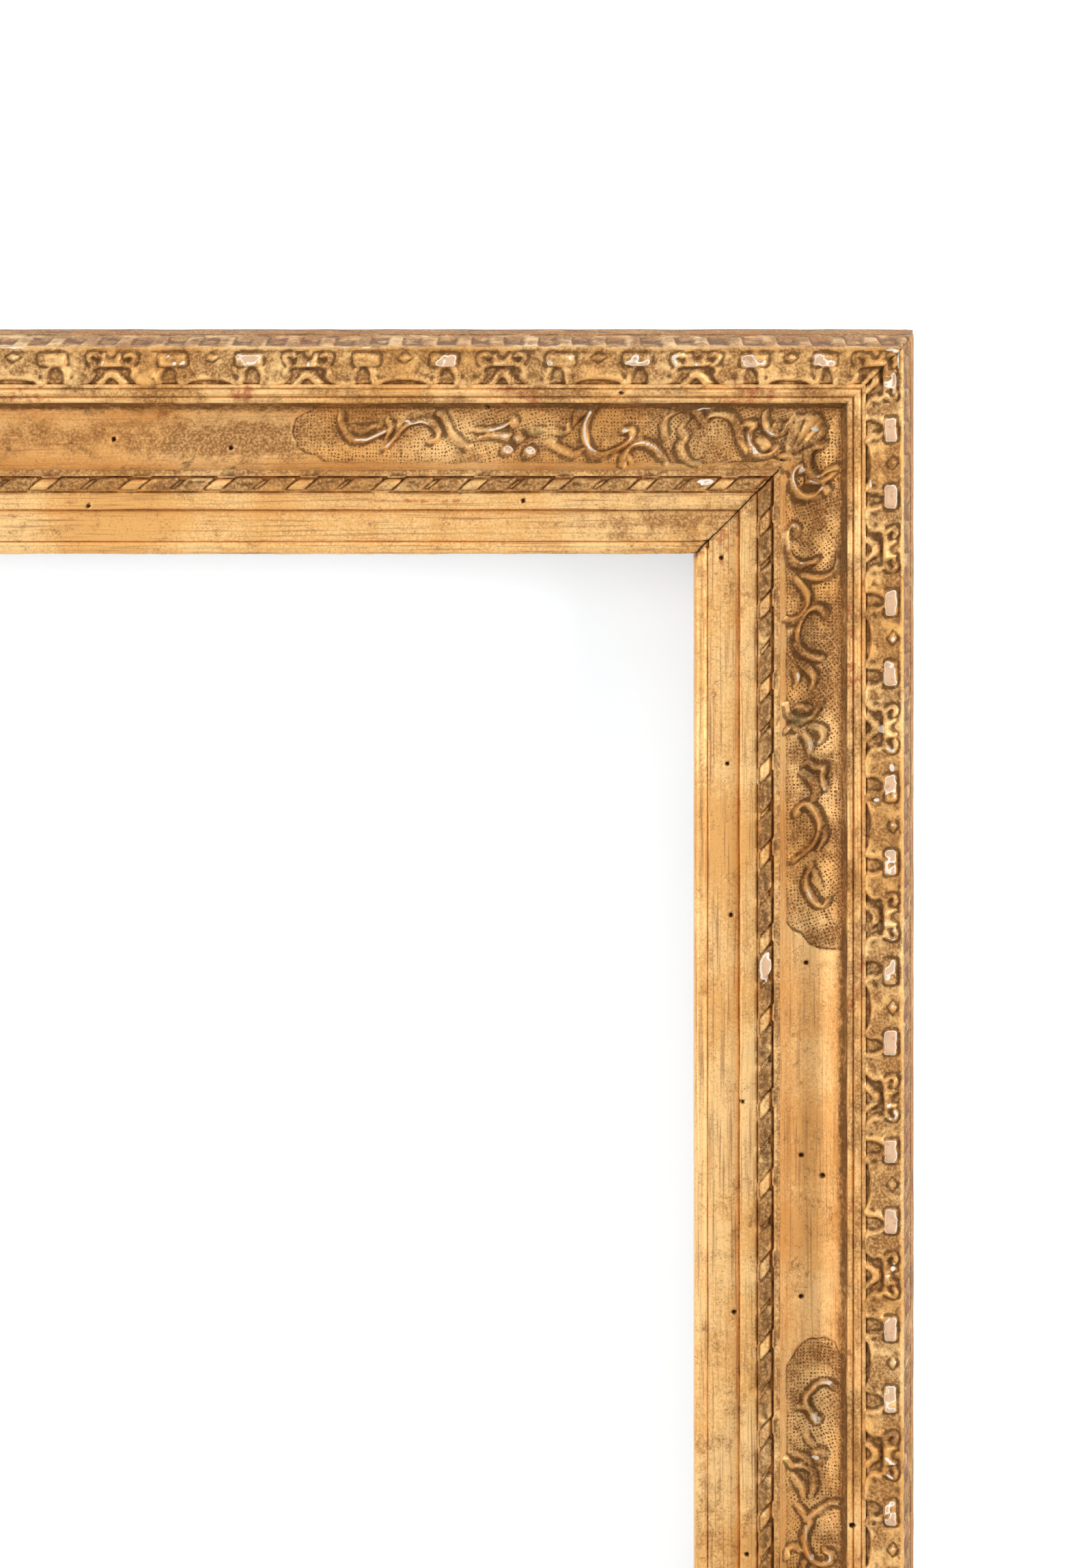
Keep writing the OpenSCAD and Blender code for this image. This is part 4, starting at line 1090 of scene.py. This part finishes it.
def gildingMaterial():
    shades = {name: toLinear(value) for name, value in gilding.items() if isinstance(value, str)}
    material, tree = newMaterial("water_gilding_on_red_bole")
    place = (addNode(tree, "TexCoord"), "Object")
    lay = (addNode(tree, "Attribute", attribute_name="lay"), "Vector")
    marks = {name: (addNode(tree, "Attribute", attribute_name=name), "Fac")
             for name in markNames + ("recess",)}

    streakLay = addNode(tree, "Mapping", {"Vector": lay, "Scale": (28, 1150, 1)})
    brushLay = addNode(tree, "Mapping", {"Vector": lay, "Scale": (160, 2400, 1)})
    noise = {}
    for name, where, scale, detail, rough in (
        ("clouds", place, 25, 4, 0.5),  # 40 mm
        ("blots", place, 125, 8, 0.76),  # 8 mm, with ragged edges
        ("spots", place, 400, 5, 0.6),  # 2.5 mm
        ("grain", place, 1100, 3, 0.6),  # 0.9 mm
        ("specks", place, 2000, 2, 0.5),  # 0.5 mm
        ("streaks", streakLay, 1, 5, 0.65),  # 36 mm long and 0.9 mm wide, along the rail
        ("brush", brushLay, 1, 2, 0.5),  # 6 mm long and 0.4 mm wide
    ):
        inputs = {"Vector": where, "Scale": scale, "Detail": detail, "Roughness": rough}
        noise[name] = addNode(tree, "TexNoise", inputs)

    # each sum is a mark times an amount, plus a noise that makes its edges ragged
    # the dirt sum is dirt and painted shade from the recess mark; the tarnish sum is tone and painted shade
    # from the toned mark
    sums = {}
    for name, mark, amount, ragged in (
        ("tarnishAndShade", marks["toned"], 0.36, noise["blots"]), ("dirtAndShade", marks["recess"], 0.55, noise["spots"]),
        ("rub", marks["rubbed"], 0.22, noise["blots"]), ("bare", noise["grain"], 0.22, marks["worn"]),
        ("warm", noise["grain"], 0.6, noise["clouds"]), ("green", marks["patina"], 0.35, noise["blots"]),
        ("speck", noise["blots"], 0.45, noise["specks"]),
    ):
        sums[name] = addNode(tree, "Math", {0: mark, 1: amount, 2: ragged}, operation="MULTIPLY_ADD")
    mask = {}
    for name, source, low, high, most in (
        ("warm", sums["warm"], 0.68, 0.92, 1.0), ("streak", noise["streaks"], 0.49, 0.68, 0.7),
        ("tarnishAndShade", sums["tarnishAndShade"], 0.52, 0.84, 1.0), ("peek", noise["grain"], 0.36, 0.62, 1.0),
        ("dirtAndShade", sums["dirtAndShade"], 0.68, 1.08, 0.8), ("scuff", noise["spots"], 0.56, 0.66, 0.45),
        ("rub", sums["rub"], 0.64, 0.74, 0.75), ("spot", noise["spots"], 0.45, 0.57, 1.0),
        ("speck", sums["speck"], 0.82, 0.94, 0.5), ("green", sums["green"], 0.76, 0.90, 0.6),
        ("gesso", sums["bare"], 0.54, 0.60, 1.0), ("wood", sums["bare"], 0.84, 0.90, 1.0),
        ("punched", marks["punch"], 0.4, 0.75, 0.9),
    ):
        inputs = {"Value": source, "From Min": low, "From Max": high, "To Max": most}
        mask[name] = addNode(tree, "MapRange", inputs, interpolation_type="SMOOTHSTEP")
    thin = addNode(tree, "MapRange", {"Value": mask["peek"], "To Min": 0.45, "To Max": 1.0})
    dots = punchedDots(tree, place, noise["spots"], noise["grain"])
    for name, first, second in (
        ("streak", mask["streak"], marks["wiped"]), ("tarnishAndShade", mask["tarnishAndShade"], thin),
        ("bole", mask["rub"], mask["spot"]), ("scuff", mask["scuff"], mask["gesso"]),
        ("punch", dots, mask["punched"]), ("dull", None, 0.9),
    ):
        mask[name] = addNode(tree, "Math", {0: first or mask["tarnishAndShade"], 1: second}, operation="MULTIPLY")

    # colour, layer over layer
    colour = addNode(tree, "Mix", {"Factor": mask["warm"], "A": shades["gold"], "B": shades["deepGold"]},
                     data_type="RGBA")
    dull = mask["dull"]
    mask["pit"] = marks["pit"]
    # the dirt layer lays dirt and painted shade, and the pit layer paints shade into holes and dark lines
    # along cracks
    for layer, shade in (
        ("streak", "streak"), ("tarnishAndShade", "toned"), ("dirtAndShade", "grimeAndShade"), ("bole", "bole"), ("speck", "speck"),
        ("punch", "punch"), ("green", "patina"), ("pit", "holeShade"), ("gesso", "gesso"), ("wood", "wood"),
        ("scuff", "scuff"),
    ):
        inputs = {"Factor": mask[layer], "A": colour, "B": shades[shade]}
        colour = addNode(tree, "Mix", inputs, data_type="RGBA")
        if layer not in ("streak", "tarnishAndShade"):
            dull = addNode(tree, "Math", {0: dull, 1: mask[layer]}, operation="MAXIMUM")
    metal = addNode(tree, "MapRange", {"Value": dull, "To Min": gilding["metallic"], "To Max": 0.0})
    sheen = addNode(tree, "MapRange", {
        "Value": dull, "To Min": gilding["gloss"], "To Max": gilding["dirtGloss"]})

    # relief finer than the mesh: brush lines, leaf wrinkles, punch dents and the steps of chips
    bump = None
    for height, strength, deep, sunk in (
        (noise["brush"], 0.4, 0.00006, False), (noise["grain"], 0.5, 0.00014, False),
        (noise["spots"], 0.4, 0.0003, False), (mask["punch"], 0.7, 0.0004, True),
        (mask["gesso"], 0.8, 0.0003, True),
    ):
        inputs = {"Strength": strength, "Distance": deep, "Height": height}
        if bump:
            inputs["Normal"] = bump
        bump = addNode(tree, "Bump", inputs, invert=sunk)
    shader = addNode(tree, "BsdfPrincipled", {
        "Base Color": colour, "Metallic": metal, "Roughness": sheen, "Normal": bump,
        "Specular IOR Level": gilding["specular"]})
    addNode(tree, "OutputMaterial", {"Surface": shader})
    return material


# Finishes of the back and its fittings: a tone that drifts between two colours, with spots of a third.
# Noises are bumps a metre and detail; ranges are the part of each noise that shows and the most it covers
agedFinishes = {
    # old planed softwood: pale brown gone grey, with long dark grain lines every few millimetres
    "softwood": {
        "colours": ("#A9825A", "#7A5738", "#4E3B2A"), "tone": (1, 5), "toneRange": (0.36, 0.66),
        "spots": (9, 5), "spotRange": (0.48, 0.75, 0.6), "roughness": 0.72, "bump": (0.35, 0.0005)},
    # old iron: dark grey skin with brown rust blooms
    "iron": {
        "colours": ("#6E6862", "#4A3A30", "#7A4A2E"), "tone": (160, 5), "toneRange": (0.35, 0.65),
        "spots": (700, 4), "spotRange": (0.56, 0.68, 1), "roughness": 0.5, "bump": (0.2, 0.0003),
        "spotMetal": 0.3, "spotRoughness": 0.8},
}
# brass: dull yellow, browned where hands don't reach, spotted as the iron is
agedFinishes["brass"] = {
    **agedFinishes["iron"], "colours": ("#C9A35A", "#8A6A38", "#5A4628"), "roughness": 0.36}


def agedMaterial(name, kind, stretch=None):
    # wood is given the stretch of its grain; its relief follows the grain, and a metal's follows the rust
    look = agedFinishes[kind]
    light, dark, third = [toLinear(colour) for colour in look["colours"]]
    material, tree = newMaterial(name)
    place = (addNode(tree, "TexCoord"), "Object")
    toneInputs = {"Vector": place, "Scale": look["tone"][0], "Detail": look["tone"][1]}
    if stretch:
        toneInputs["Vector"] = addNode(tree, "Mapping", {"Vector": place, "Scale": stretch})
        toneInputs["Roughness"] = 0.6
    tone = addNode(tree, "TexNoise", toneInputs)
    scale, detail = look["spots"]
    spots = addNode(tree, "TexNoise", {"Vector": place, "Scale": scale, "Detail": detail})
    low, high = look["toneRange"]
    drift = addNode(tree, "MapRange", {"Value": tone, "From Min": low, "From Max": high})
    colour = addNode(tree, "Mix", {"Factor": drift, "A": light, "B": dark}, data_type="RGBA")
    low, high, most = look["spotRange"]
    cover = addNode(tree, "MapRange", {"Value": spots, "From Min": low, "From Max": high, "To Max": most})
    colour = addNode(tree, "Mix", {"Factor": cover, "A": colour, "B": third}, data_type="RGBA")
    strength, deep = look["bump"]
    height = tone if stretch else spots
    bump = addNode(tree, "Bump", {"Strength": strength, "Distance": deep, "Height": height})
    inputs = {"Base Color": colour, "Roughness": look["roughness"], "Normal": bump}
    if not stretch:
        inputs["Metallic"] = addNode(tree, "MapRange", {
            "Value": cover, "To Min": 1, "To Max": look["spotMetal"]})
        inputs["Roughness"] = addNode(tree, "MapRange", {
            "Value": cover, "To Min": look["roughness"], "To Max": look["spotRoughness"]})
    shader = addNode(tree, "BsdfPrincipled", inputs)
    addNode(tree, "OutputMaterial", {"Surface": shader})
    return material


# Hardwood pegs: darker, close-grained end wood
pegWood = {"light": "#8A6541", "dark": "#5C4029", "roughness": 0.65, "poresPerMetre": 1500}


def pegMaterial():
    material, tree = newMaterial("beech_peg_end_grain")
    place = (addNode(tree, "TexCoord"), "Object")
    pores = addNode(tree, "TexNoise", {"Vector": place, "Scale": pegWood["poresPerMetre"], "Detail": 3})
    shades = {"A": toLinear(pegWood["light"]), "B": toLinear(pegWood["dark"])}
    colour = addNode(tree, "Mix", {"Factor": pores, **shades}, data_type="RGBA")
    shader = addNode(tree, "BsdfPrincipled", {"Base Color": colour, "Roughness": pegWood["roughness"]})
    addNode(tree, "OutputMaterial", {"Surface": shader})
    return material


print("finishes")
gold = gildingMaterial()
iron = agedMaterial("wrought_iron_browned", "iron")
brass = agedMaterial("rolled_brass_aged", "brass")
nodeFinishes = {
    "back_rail": agedMaterial("old_planed_spruce_rail", "softwood", (14, 420, 420)),
    "back_stile": agedMaterial("old_planed_spruce_stile", "softwood", (420, 420, 14)),
    "lap_pegs": pegMaterial(), "moulding_nails": iron, "hanger": iron, "turn_button_screws": brass,
    "turn_button": brass,
}
for name, node in frame["nodes"].items():
    finishes = [finish for start, finish in nodeFinishes.items() if name.startswith(start)]
    for slot in node.material_slots if finishes else ():
        slot.material = finishes[0]

print("mouldings")
# spacing of the rows in mm: on the halves in the photograph, their far halves and the other sides
mouldings = {
    "sight": {"section": sightSection, "face": (3, -2), "carve": carveSight, "rows": (0.45, 0.85, 0.95)},
    "hollow": {"section": hollowSection, "face": (1, -2), "carve": carveHollow, "rows": (0.32, 0.66, 0.7)},
    "edge": {"section": edgeSection, "face": (1, -2), "carve": carveEdge, "rows": (0.38, 0.85, 0.8)},
}
# the hollow needs close rows only at its panels and worm holes: how far the panels reach from the middle and
# the end of a side, and the spacing between the panels, at the middle in the photograph and at a hole
hollowRows = {"centre": 104, "corner": 184, "plain": 0.75, "seenCentre": 0.44, "hole": 0.4, "holeReach": 3}
coarseRows = 2.0
facing = {"face": (1, -2), "reach": 76, "rounded": 6, "near": 0.5, "far": 2.5}


def hollowZones(sideName, reach, near, far):
    p = hollowRows
    seen = sides[sideName]["shown"] != 0
    farZones = [(0, p["centre"], p["plain"]), (reach - p["corner"], reach, far)]
    if not seen:
        return farZones, farZones
    onRail = sides[sideName]["kind"] == "rail"
    zones = [(0, p["centre"], p["plain"] if onRail else p["seenCentre"]), (reach - p["corner"], reach, near)]
    for px, py in wormHoles:
        place = alongSide(sideName, px if onRail else py, heights["cove"])
        if p["centre"] < place < reach - p["corner"]:
            zones.append((place - p["holeReach"], place + p["holeReach"], p["hole"]))
    return zones, farZones


for sideName, side in sides.items():
    seen = side["shown"] != 0
    for kind, made in mouldings.items():
        points = made["section"](seen) if kind == "hollow" else made["section"]()
        across = [p[0] for p in points]
        reach = side["half"] + (min(across) + max(across)) / 2
        near, far, other = made["rows"]
        far = far if seen else other
        if kind == "hollow":
            zones, farZones = hollowZones(sideName, reach, near, far)
        else:
            farZones = [(0, reach, far)]
            shownFrom = alongSide(sideName, 0, heights["leftEdge"]) if side["kind"] == "rail" else 0
            zones = farZones + [(shownFrom, reach, near)] * seen
        rows = rowsAlong(reach, zones, farZones, coarseRows, side["shown"] < 0)
        name = kind + "_moulding_" + sideName
        piece = buildMoulding("carved_" + name, sideName, points, made["face"], rows, made["carve"], gold)
        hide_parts(name)
    reach = side["half"] + facing["reach"]
    zones = [(reach - facing["rounded"], reach, facing["near"])]
    rows = rowsAlong(reach, zones, zones, facing["far"])
    name = "gilded_facing_" + sideName
    buildMoulding(name, sideName, facingSection(), facing["face"], rows, carveFacing, gold)
    print("  " + sideName + " done")
made = [o for o in bpy.data.objects if o.name.startswith(("carved", "gilded"))]
print("  triangles " + str({o.name: sum(len(f.vertices) - 2 for f in o.data.polygons) for o in made}))

# Floor, wall, light and camera
print("studio")
studio = {
    "wallBehind": 0.0006, "half": 3.0, "floorDrop": 0.45,
    "wall": "#F4F4F4", "wallGlow": 0.46, "glowColour": (0.68, 0.88, 1.0, 1.0), "floor": "#E4E2DE",
    "floorGlow": 0.1, "world": "#FBFAF8", "worldLight": 0.34, "worldSeen": 1.0,
}


def seenBy(tree, otherwise, strength):
    # a strength for what the camera sees, straight on, in gloss or through glass, and another for the rest
    rays = addNode(tree, "LightPath")
    seen = (rays, "Is Camera Ray")
    for ray in ("Is Glossy Ray", "Is Transmission Ray"):
        seen = addNode(tree, "Math", {0: seen, 1: (rays, ray)}, operation="MAXIMUM")
    return addNode(tree, "MapRange", {"Value": seen, "To Min": otherwise, "To Max": strength})


def stageMaterial(name, colour, glow, seeThroughFromBehind):
    material, tree = newMaterial(name)
    diffuse = addNode(tree, "BsdfDiffuse", {"Color": toLinear(colour)})
    shine = addNode(tree, "Emission", {"Color": studio["glowColour"], "Strength": seenBy(tree, 0, glow)})
    surface = addNode(tree, "AddShader", {0: diffuse, 1: shine})
    if seeThroughFromBehind:
        behind = (addNode(tree, "NewGeometry"), "Backfacing")
        surface = addNode(tree, "MixShader", {0: behind, 1: surface, 2: addNode(tree, "BsdfTransparent")})
    addNode(tree, "OutputMaterial", {"Surface": surface})
    return material


def stagePlane(name, place, turn, material):
    bpy.ops.object.select_all(action="DESELECT")
    bpy.ops.mesh.primitive_plane_add(size=2 * studio["half"], location=place, rotation=turn)
    plane = bpy.context.object
    plane.name = name
    bpy.ops.object.transform_apply(location=True, rotation=True, scale=True)
    plane.data.materials.append(material)
    return plane


upright = (math.pi / 2, 0, 0)
white = stageMaterial("white_wall", studio["wall"], studio["wallGlow"], True)
wall = stagePlane("studio_wall", (0, studio["wallBehind"], 0), upright, white)
wall.visible_shadow = False
pale = stageMaterial("pale_floor", studio["floor"], studio["floorGlow"], False)
stagePlane("studio_floor", (0, 0, cadBox[0][2] - studio["floorDrop"]), (0, 0, 0), pale)

world = bpy.data.worlds.new("soft_studio")
bpy.context.scene.world = world
world.use_nodes = True
world.node_tree.nodes.clear()
glow = seenBy(world.node_tree, studio["worldLight"], studio["worldSeen"])
light = addNode(world.node_tree, "Background", {"Color": toLinear(studio["world"]), "Strength": glow})
addNode(world.node_tree, "OutputWorld", {"Surface": light})

# lamps: where each stands, what it points at, its size in metres and how bright its face is
lamps = {
    "key_right": ((2.3, -1.15, 0.4), (0.45, 0, -0.15), 1.2, 7.5),
    "fill_left": ((-1.3, -1.25, 0.0), (0.45, 0, -0.2), 1.2, 4.6),
    "top_soft": ((0.4, -1.2, 1.8), (0.4, 0, -0.1), 1.2, 1.5),
    "back_soft": ((0, 2.4, -0.4), (0, 0, -0.4), 1.2, 5.0),
}
for name, (place, aim, size, bright) in lamps.items():
    bpy.ops.object.light_add(type="AREA", location=place)
    lamp = bpy.context.object
    lamp.name = name
    lamp.data.shape = "SQUARE"
    lamp.data.size = size
    lamp.data.energy = bright * math.pi * size ** 2
    direction = np.array(aim) - np.array(place)
    across = math.hypot(direction[0], direction[1])
    lamp.rotation_euler = (math.atan2(across, -direction[2]), 0, math.atan2(-direction[0], direction[1]))

scale = photo["pixelsPerMm"]
cameraX = sightHalfWide + (photo["squareOn"][0] - photo["sightCorner"][0]) / scale
cameraZ = middleZ + sightHalfHigh + (photo["sightCorner"][1] - photo["squareOn"][1]) / scale
cameraY = -(photo["distance"] + photo["ridgeHeight"])
bpy.ops.object.camera_add(location=(cameraX * mm, cameraY * mm, cameraZ * mm), rotation=(math.pi / 2, 0, 0))
camera = bpy.context.object
camera.name = "photo_camera"
sensor = 36
camera.data.sensor_width = sensor
camera.data.lens = sensor * photo["distance"] * scale / photo["height"]
camera.data.shift_x = (photo["width"] / 2 - photo["squareOn"][0]) / photo["height"]
camera.data.shift_y = -(photo["height"] / 2 - photo["squareOn"][1]) / photo["height"]
camera.data.clip_end = 50
bpy.context.scene.camera = camera
bpy.context.scene.view_settings.view_transform = "Standard"
